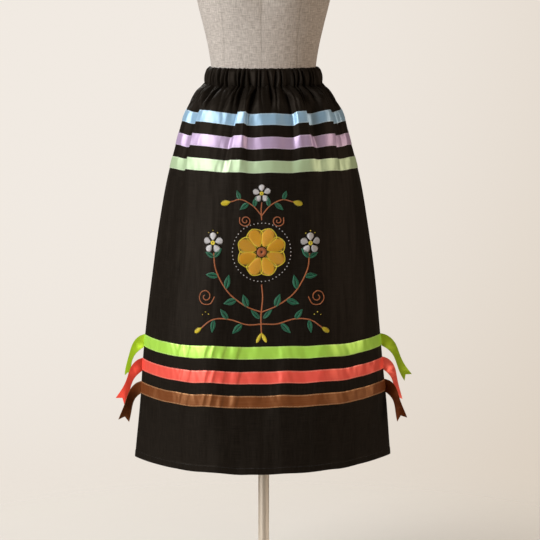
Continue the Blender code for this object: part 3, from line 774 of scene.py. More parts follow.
gathers = np.arange(GATHERS * BAND_STEPS_PER_GATHER) / BAND_STEPS_PER_GATHER
turns = turn_of(gathers)
rings = []
for drop in BAND_DROPS:
    half_width, depth, gather = sized(BAND_ROWS, drop)
    sizes = (half_width, depth, depth, *OVAL)
    rise = gather_rise(gathers, drop - BAND_DEPTH)
    scallop = TOP_SCALLOP * rise * (1.0 - smooth(drop / TOP_ROUND))
    scallop += pinch_rise(gathers) * (1.0 - smooth((BAND_DEPTH - drop) / PINCH_REACH))
    plan = section(*sizes, turns) + outward(sizes, turns) * (gather * rise)[:, None]
    rings.append(np.column_stack([plan, BAND_TOP - drop + scallop]))
for drop, raised in ((BAND_DEPTH, pinch_rise(gathers)), (0.0, np.zeros(len(turns)))):
    plan = form_plan(BAND_TOP - drop, turns)
    plan *= 1.0 + BAND_CLEAR / np.linalg.norm(plan, axis=1, keepdims=True)
    rings.append(np.column_stack([plan, BAND_TOP - drop + raised]))
count = len(turns)
faces = grid_faces(len(rings), count, closed=True)
last = (len(rings) - 1) * count
faces += [(last + k, last + (k + 1) % count, (k + 1) % count, k)[::-1] for k in range(count)]
middle_ring = rings[len(BAND_DROPS) // 2]
around = np.concatenate([[0.0], np.cumsum(np.linalg.norm(np.diff(middle_ring, axis=0), axis=1))])
uv = np.concatenate([np.column_stack([around, np.full(count, -v)]) for v in (*BAND_DROPS, *LINING_V)])
band = mesh_piece("waistband_casing", np.concatenate(rings), faces, cotton, uv, crease=RIM_CREASE)
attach(band, "root")
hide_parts("waistband")


# ---- Ribbons ----
# Six rows of one-inch polyester satin ribbon are sewn flat to each panel, three pastel ones round the hips
# and three bright ones above the hem. A machine stitch in matching thread runs close to each woven edge.

RIBBON_WIDTH, RIBBON_WALL, RIBBON_LIFT, RIBBON_UNDER = 0.0254, 0.0004, 0.0003, 0.00018
ACROSS_STEPS = (0.0, 0.0007, 0.0016, 0.0026, 0.0070, 0.0127, 0.0184, 0.0228, 0.0238, 0.0247, RIBBON_WIDTH)
# The painted highlight along each woven edge begins past the selvedge and fades over the edge band, which
# also shapes the ribbon's crown.
SELVEDGE, EDGE_BAND, EDGE_THIN = 0.0008, 0.0016, 0.05
SatinRibbon = namedtuple("SatinRibbon", "name cloth shade light roughness pucker creasing bends")
SATIN_RIBBONS = (
    SatinRibbon("sky", 0.0690, "#90BBDA", "#E8F3FA", 0.45, 0.0003, 0.0025, 0.2),
    SatinRibbon("lavender", 0.1198, "#B9A0C6", "#EDE1F1", 0.46, 0.0003, 0.0025, 0.2),
    SatinRibbon("mint", 0.1706, "#BAD5A8", "#E8F2DE", 0.46, 0.0003, 0.0025, 0.2),
    SatinRibbon("lime", 0.5585, "#B4EE50", "#E2F8B0", 0.39, 0.0005, 0.0050, 1.0),
    SatinRibbon("coral", 0.6098, "#FF5648", "#FFBCAA", 0.39, 0.0005, 0.0050, 1.0),
    SatinRibbon("brown", 0.6596, "#70330E", "#F2C08C", 0.39, 0.0005, 0.0050, 1.0),
)

# Filament satin shows long floats of yarn along the ribbon, so it reflects in bands that lie across it. The
# yarns are drawn 1.1 mm apart, coarser than they are, so that they show. Faint creases slant across them.
YARN_WIDTH, YARN_LENGTH = 0.0011, 0.060
CREASE_ALONG, CREASE_ACROSS, CREASE_SLANT = 0.026, 0.150, 0.35


def satin(name, shade, light, roughness, anisotropy, creasing):
    """Woven polyester satin: painted sheen along the yarns and a painted highlight at the woven edges lift
    its shade towards its light.
    """
    gloss = {"IOR": 1.7, "Metallic": 0.22, "Specular IOR Level": 1.0, "Specular Tint": linear(light)}
    settings = {"Roughness": roughness, "Anisotropic": anisotropy, **gloss}
    finish, tree, shader = new_finish(name, settings)
    cloth = add_node(tree, "ShaderNodeUVMap", {"uv_map": "cloth"}).outputs["UV"]
    tangent = add_node(tree, "ShaderNodeTangent", {"direction_type": "UV_MAP", "uv_map": "cloth"})
    tree.links.new(tangent.outputs["Tangent"], shader.inputs["Tangent"])
    edge = add_node(tree, "ShaderNodeAttribute", {"attribute_name": "edge"}).outputs["Fac"]
    spacing = (1 / YARN_WIDTH, 1 / YARN_LENGTH, 1.0)
    drawn_out = add_node(tree, "ShaderNodeMapping", {"Scale": spacing}, {"Vector": cloth})
    yarn = add_node(
        tree, "ShaderNodeTexNoise", {"Scale": 1.0, "Detail": 3.0}, {"Vector": drawn_out.outputs["Vector"]}
    ).outputs["Fac"]
    # Along the yarns and at the woven edges the colour is lightened towards the light shade: painted sheen
    # and painted highlight.
    yarn_sheen = add_node(tree, "ShaderNodeMath", {"operation": "MULTIPLY_ADD", 1: 0.18, 2: -0.04}, {0: yarn})
    both = add_node(
        tree,
        "ShaderNodeMath",
        {"operation": "MULTIPLY_ADD", "use_clamp": True, 1: 0.25},
        {0: edge, 2: yarn_sheen.outputs[0]},
    )
    tone = add_node(
        tree,
        "ShaderNodeMix",
        {"data_type": "RGBA", 6: linear(shade), 7: linear(light)},
        {0: both.outputs[0]},
    )
    tree.links.new(tone.outputs[2], shader.inputs["Base Color"])
    slanted = add_node(tree, "ShaderNodeMapping", {"Rotation": (0.0, 0.0, CREASE_SLANT)}, {"Vector": cloth})
    drawn_out = add_node(
        tree,
        "ShaderNodeMapping",
        {"Scale": (1 / CREASE_ACROSS, 1 / CREASE_ALONG, 1.0)},
        {"Vector": slanted.outputs["Vector"]},
    )
    creases = add_node(
        tree, "ShaderNodeTexNoise", {"Scale": 1.0, "Detail": 1.0}, {"Vector": drawn_out.outputs["Vector"]}
    )
    bend = add_node(tree, "ShaderNodeAttribute", {"attribute_name": "bend"}).outputs["Fac"]
    height = add_node(
        tree,
        "ShaderNodeMath",
        {"operation": "MULTIPLY_ADD", 1: creasing},
        {0: creases.outputs["Fac"], 2: bend},
    )
    creased = add_node(
        tree, "ShaderNodeBump", {"Strength": 1.0, "Distance": 1.0}, {"Height": height.outputs[0]}
    )
    bump = add_node(
        tree,
        "ShaderNodeBump",
        {"Strength": 0.4, "Distance": 0.0002},
        {"Height": yarn, "Normal": creased.outputs["Normal"]},
    )
    tree.links.new(bump.outputs["Normal"], shader.inputs["Normal"])
    return finish


EDGE_STITCH = 0.0019
PUCKER_SLANT, PUCKER_RISES = 70.0, 0.005
PUCKERS = (
    Wave(37, 0.3, PUCKER_SLANT, 0.24),
    Wave(59, 1.7, PUCKER_SLANT, 0.17),
    Wave(97, 4.1, PUCKER_SLANT, 0.09),
)


def puckered(turns, across, height):
    """How far a ribbon puckers between its two rows of stitches, in slants: rows across by columns along."""
    across = across[:, None]
    rise = 0.5 + rippled(PUCKERS, turns, across)
    from_edge = np.minimum(across, RIBBON_WIDTH - across)
    return height * rise * smooth((from_edge - EDGE_STITCH) / PUCKER_RISES)


# A bend lies across a ribbon where the stitching has drawn it up a little. It rises over its left flank to
# a crest and falls over its right one, both in turns. It strays a little from one ribbon to the next.
Bend = namedtuple("Bend", "turn left right height")
BENDS = (
    Bend(0.052, 0.012, 0.008, 0.0010),
    Bend(0.113, 0.007, 0.004, 0.0010),
    Bend(0.127, 0.010, 0.004, 0.0008),
    Bend(0.158, 0.026, 0.005, 0.0017),
    Bend(0.171, 0.006, 0.004, 0.0014),
    Bend(0.187, 0.009, 0.004, 0.0020),
    Bend(0.209, 0.014, 0.006, 0.0026),
    Bend(0.240, 0.012, 0.010, 0.0009),
    Bend(0.283, 0.010, 0.016, 0.0008),
    Bend(0.341, 0.008, 0.024, 0.0009),
    Bend(0.402, 0.010, 0.014, 0.0009),
    Bend(0.455, 0.010, 0.012, 0.0010),
    Bend(0.571, 0.022, 0.006, 0.0016),
    Bend(0.590, 0.008, 0.005, 0.0013),
    Bend(0.664, 0.009, 0.014, 0.0018),
    Bend(0.702, 0.007, 0.005, 0.0010),
    Bend(0.781, 0.015, 0.006, 0.0014),
    Bend(0.826, 0.010, 0.012, 0.0009),
    Bend(0.893, 0.006, 0.016, 0.0016),
    Bend(0.946, 0.010, 0.008, 0.0009),
)
BEND_SLANT = 0.20
BEND_STRAY, BEND_STRAYS = 0.002, 40.0


def bent(turns, across, share):
    """How high the bends of a ribbon stand: rows across by columns along."""
    rise = np.zeros((len(across), len(turns)))
    for bend in BENDS:
        away = np.mod(turns - bend.turn + BEND_SLANT * across[:, None] + 0.5, 1.0) - 0.5
        rise += bend.height * (1.0 - smooth(np.abs(away) / np.where(away < 0, bend.left, bend.right)))
    return share * rise


ribbon_threads = {
    ribbon.name: thread(f"polyester_sewing_thread_{ribbon.name}", ribbon.shade, ribbon.light, roughness=0.45)
    for ribbon in SATIN_RIBBONS
}
satins = {}
across = np.array(ACROSS_STEPS)
from_edge = np.minimum(across, RIBBON_WIDTH - across)
# A painted highlight along both woven edges, mixed into the satin's colour.
edge = 1.0 - smooth((from_edge - SELVEDGE) / EDGE_BAND)
for ribbon in SATIN_RIBBONS:
    satins[ribbon.name] = satin(
        f"satin_ribbon_{ribbon.name}",
        ribbon.shade,
        ribbon.light,
        ribbon.roughness,
        anisotropy=0.50,
        creasing=ribbon.creasing,
    )
    for side, gathers in side_gathers.items():
        face, square = hang(gathers, ribbon.cloth + across)
        crown = RIBBON_LIFT + RIBBON_WALL * np.sqrt(np.clip(from_edge / EDGE_BAND, EDGE_THIN, 1.0))
        lining = kept_to_side(moved_out(face, square, RIBBON_UNDER), side == "front")
        turns = turn_of(gathers)
        crown = crown[:, None] + puckered(turns + ribbon.cloth, across, ribbon.pucker)
        face = kept_to_side(moved_out(face, square, crown[..., None]), side == "front")
        uv = cloth_uv(face)[..., ::-1]
        name = f"ribbon_{ribbon.name}_{side}"
        bends = bent(turns + BEND_STRAY * np.sin(BEND_STRAYS * ribbon.cloth), across, ribbon.bends)
        marks = {"edge": np.tile(np.repeat(edge, len(gathers)), 2), "bend": np.tile(bends.ravel(), 2)}
        piece = shell(name + "_satin", face, lining, uv, satins[ribbon.name], marks)
        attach(piece, "root")
        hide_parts(name)
        rows = (ribbon.cloth + EDGE_STITCH, ribbon.cloth + RIBBON_WIDTH - EDGE_STITCH)
        lines = [stitch for row in rows for stitch in sewn_line(side, row)]
        finish = ribbon_threads[ribbon.name]
        name = f"stitching_{ribbon.name}_{side}"
        lift = RIBBON_LIFT + RIBBON_WALL
        stitched(name, side, lines, SEWING_THREAD, SEWING_RISE, lift, finish, SEWING_STATIONS)


# ---- Embroidery ----
# A spray of flowers is worked by hand on the front panel in glossy rayon thread. Fillings are satin stitch,
# laid side by side from edge to edge, and stems and outlines are narrow bands of the same stitch.

FLOWER_MIDDLE = np.array([0.0, 0.362])
SPRAY_SCALE = 1.13
STRAND, STRAND_RISE, FILL_RISE, STRAND_LIFT = 0.0011, 0.0006, 0.0010, 0.0001
STRAND_STATIONS = (0.2, 0.5, 0.8)
STRAND_STEP, LEAF_STEP, HEART_STEP = 0.85 * STRAND, 0.95 * STRAND, 1.1 * STRAND
BAND_WIDTH, BANDS_LEAN, VEIN_GAP = 0.0030, 0.0010, 0.0002
PETAL_ENDS, LEAF_ENDS, LEAF_FORWARD = (0.03, 0.985), (0.02, 0.86), 0.13
PETAL_ROOT, PETAL_FULLEST, BUD_FULLEST, HEART_STARTS, HEART_ENDS = 0.90, 0.62, 0.55, 0.15, 0.86
PETAL_FILLS, PETAL_ROUNDS, LEAF_FILLS, LEAF_OPENS = 0.9, 2.4, 0.85, 0.12
COLOURS = ("gold", "yellow", "white", "copper", "green")
bands = {colour: [] for colour in COLOURS}
fills = {colour: [] for colour in COLOURS}


def mm(*places):
    """Flat places given in millimetres from the middle of the large flower."""
    return FLOWER_MIDDLE + SPRAY_SCALE * np.array(places, dtype=float) / 1000.0


def even_steps(route, step):
    """Places and directions at even steps along a smooth curve through a few points."""
    stations = np.arange(len(route), dtype=float)
    fine = np.linspace(0.0, len(route) - 1.0, 60 * len(route))
    smooth_route = np.column_stack([through(stations, route[:, k], fine) for k in (0, 1)])
    length = np.concatenate([[0.0], np.cumsum(np.linalg.norm(np.diff(smooth_route, axis=0), axis=1))])
    at = np.linspace(0.0, length[-1], max(int(length[-1] / step), 2) + 1)
    places = np.column_stack([np.interp(at, length, smooth_route[:, k]) for k in (0, 1)])
    heading = np.gradient(places, axis=0)
    return places, heading / np.linalg.norm(heading, axis=1, keepdims=True)


def beside(heading):
    """Unit vectors a quarter turn from unit headings."""
    return np.column_stack([-heading[:, 1], heading[:, 0]])


def stem(colour, route, width):
    """A narrow band of satin stitch along a curve, each stitch leaning forward."""
    places, heading = even_steps(route, STRAND_STEP)
    half = beside(heading) * width / 2 + heading * BANDS_LEAN
    bands[colour] += list(np.stack([places - half, places + half], axis=1))


def axis_of(root, tip):
    """The way from a root to a tip, its length, and the unit vector to its side."""
    axis = tip - root
    length = np.linalg.norm(axis)
    return axis, length, beside(axis[None] / length)[0]


def petal(colour, root, tip, half_width, fullest):
    """A shape filled with satin stitch from side to side, widest at one share of its length."""
    axis, length, sideways = axis_of(root, tip)
    shares = np.linspace(*PETAL_ENDS, max(int(length / STRAND_STEP), 3))
    spread = np.where(shares < fullest, np.sin(0.5 * np.pi * shares / fullest) ** PETAL_FILLS, 1.0)
    past = np.clip((shares - fullest) / (1.0 - fullest), 0.0, 1.0)
    half = np.outer(half_width * spread * np.sqrt(1.0 - past**PETAL_ROUNDS), sideways)
    middle = root + np.outer(shares, axis)
    fills[colour] += list(np.stack([middle - half, middle + half], axis=1))


def leaf(colour, root, tip, half_width):
    """A leaf in two halves, whose stitches run from the vein forwards to the edge."""
    axis, length, sideways = axis_of(root, tip)
    shares = np.linspace(*LEAF_ENDS, max(int(length / LEAF_STEP), 4))
    spread = half_width * np.sin(np.pi * np.clip(shares + LEAF_OPENS, 0.0, 1.0) ** LEAF_FILLS)
    for way in (-1.0, 1.0):
        vein = root + np.outer(shares, axis) + way * VEIN_GAP * sideways
        edge = root + np.outer(shares + LEAF_FORWARD, axis) + way * np.outer(spread, sideways)
        fills[colour] += list(np.stack([vein, edge], axis=1))


def knots(colour, places, size):
    """French knots: the thread is wound round the needle, which leaves a bead standing on the cloth."""
    for place in places:
        fills[colour].append(np.array([place - (size / 2, 0), place + (size / 2, 0)]))
        fills[colour].append(np.array([place - (0, size / 2), place + (0, size / 2)]))


def round_places(count, start=0.0):
    """Places at even steps on a circle of radius 1."""
    angle = start + 2 * np.pi * np.arange(count) / count
    return np.column_stack([np.cos(angle), np.sin(angle)])


Flower = namedtuple("Flower", "colour petals radius half_width heart heart_colour turned")


def blossom(middle, flower):
    """An open flower: petals round a heart whose stitches spread from its middle."""
    for place in round_places(flower.petals, flower.turned):
        root = middle + place * flower.heart * PETAL_ROOT
        petal(flower.colour, root, middle + place * flower.radius, flower.half_width, PETAL_FULLEST)
    for place in round_places(max(int(flower.heart * 2 * np.pi / HEART_STEP), 8)):
        start = middle + place * flower.heart * HEART_STARTS
        end = middle + place * flower.heart * HEART_ENDS
        fills[flower.heart_colour].append(np.array([start, end]))


def on_side(mirrored, *places):
    """Flat places given in millimetres, on the right of the large flower or mirrored to its left."""
    placed = mm(*places)
    return FLOWER_MIDDLE + (placed - FLOWER_MIDDLE) * (-1.0, 1.0) if mirrored else placed


# The large flower's petals are outlined in yellow, and rings of knots lie round its heart and all of it.
LARGE_FLOWER = Flower("gold", 8, 0.0500, 0.0164, 0.0125, "copper", np.pi / 8)
TOP_FLOWER = Flower("white", 5, 0.0185, 0.0072, 0.0052, "yellow", -np.pi / 2)
SIDE_FLOWER = Flower("white", 5, 0.0215, 0.0084, 0.0060, "yellow", -np.pi / 2)
PETAL_OUTLINE = ((0.0150, 0.0044), (0.0285, 0.0136), (0.0415, 0.0164))
PETAL_OUTLINE_TIP, OUTLINE_WIDTH = 0.0516, 0.0016
KnotRing = namedtuple("KnotRing", "colour radius count size")
KNOT_RINGS = (KnotRing("yellow", 0.0134, 22, 0.0024), KnotRing("white", 0.0610, 48, 0.0028))

# Stems, leaves, buds, curls and dots are in millimetres from the middle of the large flower. Those at the
# side are worked on the right and mirrored on the left.
Stem = namedtuple("Stem", "route width")
MIDDLE_STEMS = (
    Stem(((0, 60), (2, 84), (-1, 118), (0, 152)), BAND_WIDTH),
    Stem(((0, -60), (-1, -76), (0, -92)), 0.0024),
)
SIDE_STEMS = (
    Stem(((0, 110), (30, 99), (62, 74), (84, 36), (89, 4)), BAND_WIDTH),
    Stem(((0, 132), (28, 133), (60, 124), (90, 126), (112, 141)), BAND_WIDTH),
    Stem(((0, -68), (16, -86), (38, -97), (58, -93)), 0.0024),
)
TOP_FLOWER_PLACE, SIDE_FLOWER_PLACE = (0, -109), (91, -15)
Leaf = namedtuple("Leaf", "root tip half_width")
LEAVES = (
    Leaf((3, 122), (20, 106), 4.5),
    Leaf((26, 102), (34, 78), 6.5),
    Leaf((46, 88), (70, 96), 6.5),
    Leaf((66, 69), (60, 42), 6.0),
    Leaf((80, 46), (104, 44), 6.0),
    Leaf((88, 12), (74, -6), 4.5),
    Leaf((88, 12), (106, 2), 4.5),
    Leaf((36, 132), (54, 150), 6.0),
    Leaf((62, 124), (76, 106), 5.5),
    Leaf((88, 126), (92, 150), 5.0),
    Leaf((14, -84), (10, -104), 4.5),
    Leaf((24, -91), (40, -78), 5.0),
    Leaf((40, -97), (46, -114), 4.5),
)
BUDS = (
    Leaf((58, -93), (76, -88), 6.0),
    Leaf((112, 141), (126, 150), 5.0),
    Leaf((0, 148), (9, 166), 4.0),
)
DOTS, DOT_SIZE = ((98, 116), (104, 112), (110, 117), (82, -34), (91, -38), (100, -34)), 0.0030
Curl = namedtuple("Curl", "across down size start way width")
CURLS = (Curl(104, 84, 1.0, np.pi, -1, 0.0022), Curl(30, -58, 0.7, -0.5, 1, 0.0020))
CURL_PLACES, CURL_TURNED, CURL_OUTER, CURL_INNER = 12, 3.3 * np.pi, 17.0, 3.0

blossom(FLOWER_MIDDLE, LARGE_FLOWER)
for place in round_places(LARGE_FLOWER.petals, LARGE_FLOWER.turned):
    sideways = np.array([-place[1], place[0]])
    outline = [(along, -across) for along, across in PETAL_OUTLINE]
    outline += [(PETAL_OUTLINE_TIP, 0.0), *PETAL_OUTLINE[::-1]]
    route = FLOWER_MIDDLE + np.array([along * place + across * sideways for along, across in outline])
    stem("yellow", route, OUTLINE_WIDTH)
for ring in KNOT_RINGS:
    knots(ring.colour, FLOWER_MIDDLE + ring.radius * round_places(ring.count), ring.size)

for row in MIDDLE_STEMS:
    stem("copper", mm(*row.route), row.width)
blossom(mm(TOP_FLOWER_PLACE)[0], TOP_FLOWER)
curl_angle = np.linspace(0.0, CURL_TURNED, CURL_PLACES)
curl_radius = np.linspace(CURL_OUTER, CURL_INNER, CURL_PLACES)
for mirrored in (False, True):
    for row in SIDE_STEMS:
        stem("copper", on_side(mirrored, *row.route), row.width)
    blossom(on_side(mirrored, SIDE_FLOWER_PLACE)[0], SIDE_FLOWER)
    for row in LEAVES:
        leaf("green", *on_side(mirrored, row.root, row.tip), SPRAY_SCALE * row.half_width / 1000)
    for row in BUDS:
        half_width = SPRAY_SCALE * row.half_width / 1000
        petal("yellow", *on_side(mirrored, row.root, row.tip), half_width, BUD_FULLEST)
    for curl in CURLS:
        angle = curl.start + curl.way * curl_angle
        radius = curl.size * curl_radius
        route = np.column_stack([curl.across + radius * np.cos(angle), curl.down + radius * np.sin(angle)])
        stem("copper", on_side(mirrored, *route), curl.width)
    knots("yellow", on_side(mirrored, *DOTS), DOT_SIZE)

EMBROIDERY_SHADES = {
    "gold": ("#DD9E06", "#F2BC2A"),
    "yellow": ("#E2C80F", "#F6E84A"),
    "white": ("#D0CCCE", "#F2F0F0"),
    "copper": ("#984C20", "#CA7840"),
    "green": ("#0A5A40", "#1F8560"),
}
for colour, shades in EMBROIDERY_SHADES.items():
    finish = thread(f"rayon_embroidery_thread_{colour}", *shades, roughness=0.36)
    for kind, stitches, rise in (("lines", bands, STRAND_RISE), ("shapes", fills, FILL_RISE)):
        if stitches[colour]:
            name = f"embroidered_{kind}_{colour}"
            stitched(name, "front", stitches[colour], STRAND, rise, STRAND_LIFT, finish, STRAND_STATIONS)


# ---- Ribbon ends ----
# At each side seam the three lower ribbons run on past the stitching and hang free. They bend down under
# their own weight, some turn their duller backs out, drawn in darker colours that are also painted shade, and
# a swallow-tail cut keeps them from fraying.

Tail = namedtuple("Tail", "ribbon side shows length root_fall fall end_fall twist end_twist forward")
TAILS = (
    Tail("lime", "left", "back", 0.096, 34, 66, 88, -60, -56, -0.030),
    Tail("coral", "left", "back", 0.098, 34, 68, 57, -56, -26, -0.004),
    Tail("brown", "left", "face", 0.080, 28, 68, 73, 46, 22, 0.030),
    Tail("lime", "right", "back", 0.113, 24, 66, 54, -56, -36, -0.044),
    Tail("coral", "right", "face", 0.098, 34, 73, 80, -60, -46, -0.024),
    Tail("brown", "right", "back", 0.081, 30, 69, 73, -53, -26, 0.034),
)
TAIL_BEND = 0.42
TAIL_STEPS, TAIL_ACROSS = 40, 8
SWALLOW_CUT, TAIL_CUP = 0.009, 0.0010
TAIL_TURNS_OUT, NOTCH_STARTS, CUP_FULL = 0.08, 0.6, 0.3
BACK_AND_SHADE_COLOURS = {
    "lime": ("#90B01A", "#B8D048"),
    "coral": ("#AE3022", "#CC5444"),
    "brown": ("#4C2208", "#7E4420"),
}

# The back of satin shows its short floats, so it is duller. Its darker colours are partly that duller back
# and partly painted shade.
dull_and_shaded_backs = {
    name: satin(f"satin_ribbon_{name}_back", *shades, roughness=0.50, anisotropy=0.30, creasing=0.0030)
    for name, shades in BACK_AND_SHADE_COLOURS.items()
}
for tail in TAILS:
    ribbon = next(item for item in SATIN_RIBBONS if item.name == tail.ribbon)
    way = -1.0 if tail.side == "left" else 1.0
    seam_gather = np.array([0.0 if tail.side == "left" else GATHERS / 2])
    edges, square = hang(seam_gather, np.array([ribbon.cloth, ribbon.cloth + RIBBON_WIDTH]))
    top, bottom = moved_out(edges, square, RIBBON_LIFT + RIBBON_WALL)[:, 0]
    shares = np.linspace(0.0, 1.0, TAIL_STEPS + 1)
    bends = np.array([0.0, TAIL_BEND, 1.0])
    falls = np.radians(through(bends, np.array([tail.root_fall, tail.fall, tail.end_fall]), shares))
    twists = np.radians(through(bends, np.array([0.0, tail.twist, tail.end_twist]), shares))
    lanes = np.linspace(0.5, -0.5, TAIL_ACROSS + 1)
    middle, face, lining = (top + bottom) / 2, [], []
    seam_up = (top - bottom) / np.linalg.norm(top - bottom)
    for share, fall, twist in zip(shares, falls, twists):
        ahead = np.array([way * np.cos(fall), -tail.forward / tail.length, -np.sin(fall)])
        up = np.array([way * np.sin(fall) * np.cos(twist), -np.sin(twist), np.cos(fall) * np.cos(twist)])
        start = 1.0 - smooth(share / TAIL_TURNS_OUT)
        up = seam_up * start + up * (1.0 - start)
        up /= np.linalg.norm(up)
        thick = np.cross(ahead / np.linalg.norm(ahead), up) * way
        near_end = smooth((share - NOTCH_STARTS) / (1.0 - NOTCH_STARTS))
        notch = SWALLOW_CUT * (1.0 - np.abs(lanes) * 2) * near_end
        cup = TAIL_CUP * smooth(share / CUP_FULL) * (4 * lanes**2 - 0.5)
        line = middle + np.outer(lanes, up * RIBBON_WIDTH) - np.outer(notch, ahead) + np.outer(cup, thick)
        face.append(line)
        lining.append(line - thick * RIBBON_WALL)
        middle = middle + ahead * tail.length / TAIL_STEPS
    face, lining = np.array(face), np.array(lining)
    if tail.side == "right":
        face, lining = face[:, ::-1], lining[:, ::-1]
    uv = np.stack(np.meshgrid(lanes * RIBBON_WIDTH, shares * tail.length), axis=2)
    from_edge = (0.5 - np.abs(lanes)) * RIBBON_WIDTH
    # The same painted highlight along both woven edges of each tail.
    edge = np.tile(1.0 - smooth((from_edge - SELVEDGE) / EDGE_BAND), TAIL_STEPS + 1)
    name = f"tail_{tail.ribbon}_{tail.side}"
    marks = {"edge": np.tile(edge, 2), "bend": np.zeros(2 * len(edge))}
    shown = satins if tail.shows == "face" else dull_and_shaded_backs
    piece = shell(name + "_satin", face, lining, uv, shown[tail.ribbon], marks)
    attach(piece, "root")
    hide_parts(name)


# ---- Studio ----
# The form stands on a pale, painted floor that fades into a warm backdrop with a painted pool of light. A
# large soft lamp lights it from the front left, weaker warm ones from the front and the right, and one behind
# it lights the floor.

FLOOR_RADIUS, FLOOR_COLUMNS, FLOOR_RINGS = 1.5, 96, 12
FLOOR_FADES, FLOOR_GONE = 0.20, 0.97 * FLOOR_RADIUS
# Rolled paint is flat and matt, with a very slight mottle.
MOTTLE_SIZE = 1 / 1.3
floor_paint, tree, shader = new_finish(
    "pale_matt_floor_paint", {"Roughness": 0.95, "Specular IOR Level": 0.1}
)
place = add_node(tree, "ShaderNodeTexCoord").outputs["Object"]
mottle = add_node(tree, "ShaderNodeTexNoise", {"Scale": 1 / MOTTLE_SIZE, "Detail": 2.0}, {"Vector": place})
tone = add_node(
    tree,
    "ShaderNodeMix",
    {"data_type": "RGBA", 6: linear("#E4E1DC"), 7: linear("#E9E7E3")},
    {0: mottle.outputs["Fac"]},
)
tree.links.new(tone.outputs[2], shader.inputs["Base Color"])
reach = add_node(tree, "ShaderNodeVectorMath", {"operation": "LENGTH"}, {0: place}).outputs["Value"]
solid = add_node(
    tree,
    "ShaderNodeMapRange",
    {"interpolation_type": "SMOOTHSTEP", 1: FLOOR_FADES, 2: FLOOR_GONE, 3: 1.0, 4: 0.0},
    {0: reach},
)
tree.links.new(solid.outputs["Result"], shader.inputs["Alpha"])
angle = 2 * np.pi * np.arange(FLOOR_COLUMNS) / FLOOR_COLUMNS
radii = FLOOR_RADIUS * np.linspace(1.0, 0.0, FLOOR_RINGS + 1)[:-1]
points = [(r * np.cos(a), -r * np.sin(a), 0.0) for r in radii for a in angle] + [(0.0, 0.0, 0.0)]
faces = [face[::-1] for face in grid_faces(FLOOR_RINGS, FLOOR_COLUMNS, closed=True)]
inner = len(points) - 1 - FLOOR_COLUMNS
faces += [(inner + k, len(points) - 1, inner + (k + 1) % FLOOR_COLUMNS)[::-1] for k in range(FLOOR_COLUMNS)]
floor = mesh_piece("studio_floor", points, faces, floor_paint)

Lamp = namedtuple("Lamp", "name place aim size power colour")
LAMPS = (
    Lamp("key_softbox", (-4.2, -2.9, 2.3), (0.0, 0.0, 0.85), 3.3, 335.0, "#FFFFFF"),
    Lamp("fill_softbox", (0.9, -5.0, 1.7), (0.0, 0.0, 0.60), 1.6, 8.5, "#FFF2E6"),
    Lamp("side_softbox", (4.0, -1.0, 1.4), (0.0, 0.0, 0.75), 2.2, 66.0, "#FFEBD8"),
    Lamp("back_softbox", (-1.0, 3.0, 3.6), (0.0, 1.2, 0.0), 2.4, 120.0, "#FFFDF8"),
)
for lamp in LAMPS:
    light = bpy.data.lights.new(lamp.name, "AREA")
    light.shape = "SQUARE"
    light.size = lamp.size
    light.energy = lamp.power
    light.color = linear(lamp.colour)[:3]
    holder = bpy.data.objects.new(lamp.name, light)
    bpy.context.scene.collection.objects.link(holder)
    holder.location = lamp.place
    toward = np.array(lamp.aim) - np.array(lamp.place)
    yaw = np.arctan2(-toward[0], toward[1])
    holder.rotation_euler = (np.arctan2(np.hypot(*toward[:2]), -toward[2]), 0.0, yaw)

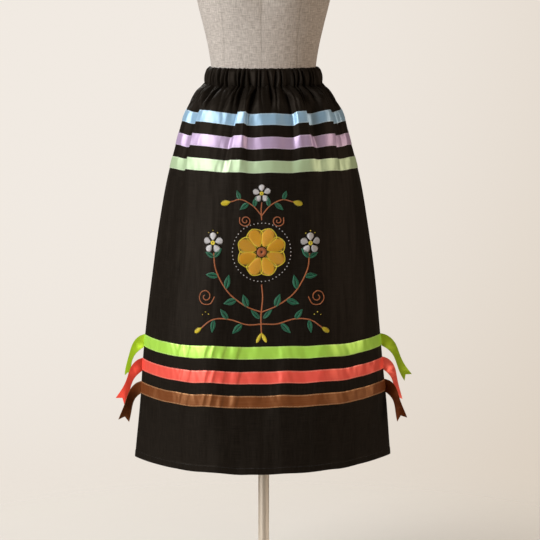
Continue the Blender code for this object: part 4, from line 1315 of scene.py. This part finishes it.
# The room's own light is weak and warm. The backdrop seen by the eye is a painted pool of light, brightest up
# and to the left behind the form and darker away from there, and it adds no light.
PAINTED_LIGHT_CENTRE = (-0.139, 0.990, 0.0)
PAINTED_LIGHT_SPREAD = 0.070
world = bpy.data.worlds.new("studio_air")
world.use_nodes = True
tree = world.node_tree
air = tree.nodes["Background"]
air.inputs["Color"].default_value = linear("#F0DAC0")
air.inputs["Strength"].default_value = 0.130
direction = add_node(tree, "ShaderNodeTexCoord").outputs["Generated"]
toward = add_node(
    tree, "ShaderNodeVectorMath", {"operation": "DOT_PRODUCT", 1: PAINTED_LIGHT_CENTRE}, {0: direction}
)
away = add_node(
    tree,
    "ShaderNodeMapRange",
    {1: 1.0, 2: 1.0 - PAINTED_LIGHT_SPREAD, 3: 0.0, 4: 1.0},
    {0: toward.outputs["Value"]},
)
painted_light_wash = add_node(tree, "ShaderNodeValToRGB", {}, {"Fac": away.outputs["Result"]})
painted_light_wash.color_ramp.interpolation = "EASE"
painted_light_wash.color_ramp.elements[0].color = linear("#F1EAE2")
painted_light_wash.color_ramp.elements[1].color = linear("#D9CCBC")
backdrop = add_node(tree, "ShaderNodeBackground", {"Strength": 1.0}, {"Color": painted_light_wash.outputs["Color"]})
seen = add_node(tree, "ShaderNodeLightPath").outputs["Is Camera Ray"]
both = add_node(
    tree,
    "ShaderNodeMixShader",
    {},
    {0: seen, 1: air.outputs["Background"], 2: backdrop.outputs["Background"]},
)
tree.links.new(both.outputs["Shader"], tree.nodes["World Output"].inputs["Surface"])
bpy.context.scene.world = world
bpy.context.scene.view_settings.view_transform = "Standard"

CAMERA_PLACE, CAMERA_DIP = (0.0137, -5.0, 1.336), 7.4
CAMERA_FOCUS_PX, PICTURE_PX = 2356.0, 540.0
camera = bpy.data.cameras.new("studio_camera")
camera.sensor_width = 36.0
camera.lens = CAMERA_FOCUS_PX / PICTURE_PX * camera.sensor_width
tripod = bpy.data.objects.new("studio_camera", camera)
bpy.context.scene.collection.objects.link(tripod)
tripod.location = CAMERA_PLACE
tripod.rotation_euler = (np.radians(90.0 - CAMERA_DIP), 0.0, 0.0)
bpy.context.scene.camera = tripod


# ---- Sewn pieces ----
# For each panel the hem stitching, and on the front the embroidery, are gathered, the ribbons' stitching is
# looked up, and so is each ribbon end.


def pieces_called(*starts):
    """The pieces whose names begin so, in order of name."""
    called = [item for item in bpy.data.objects if item.name.startswith(starts)]
    return sorted(called, key=lambda item: item.name)


for side in ("front", "back"):
    sewn_on = pieces_called(f"hem_stitching_{side}")
    if side == "front":
        sewn_on += pieces_called("embroidered_")
    for ribbon in SATIN_RIBBONS:
        pieces_called(f"stitching_{ribbon.name}_{side}")
for tail in TAILS:
    piece = bpy.data.objects[f"tail_{tail.ribbon}_{tail.side}_satin"]
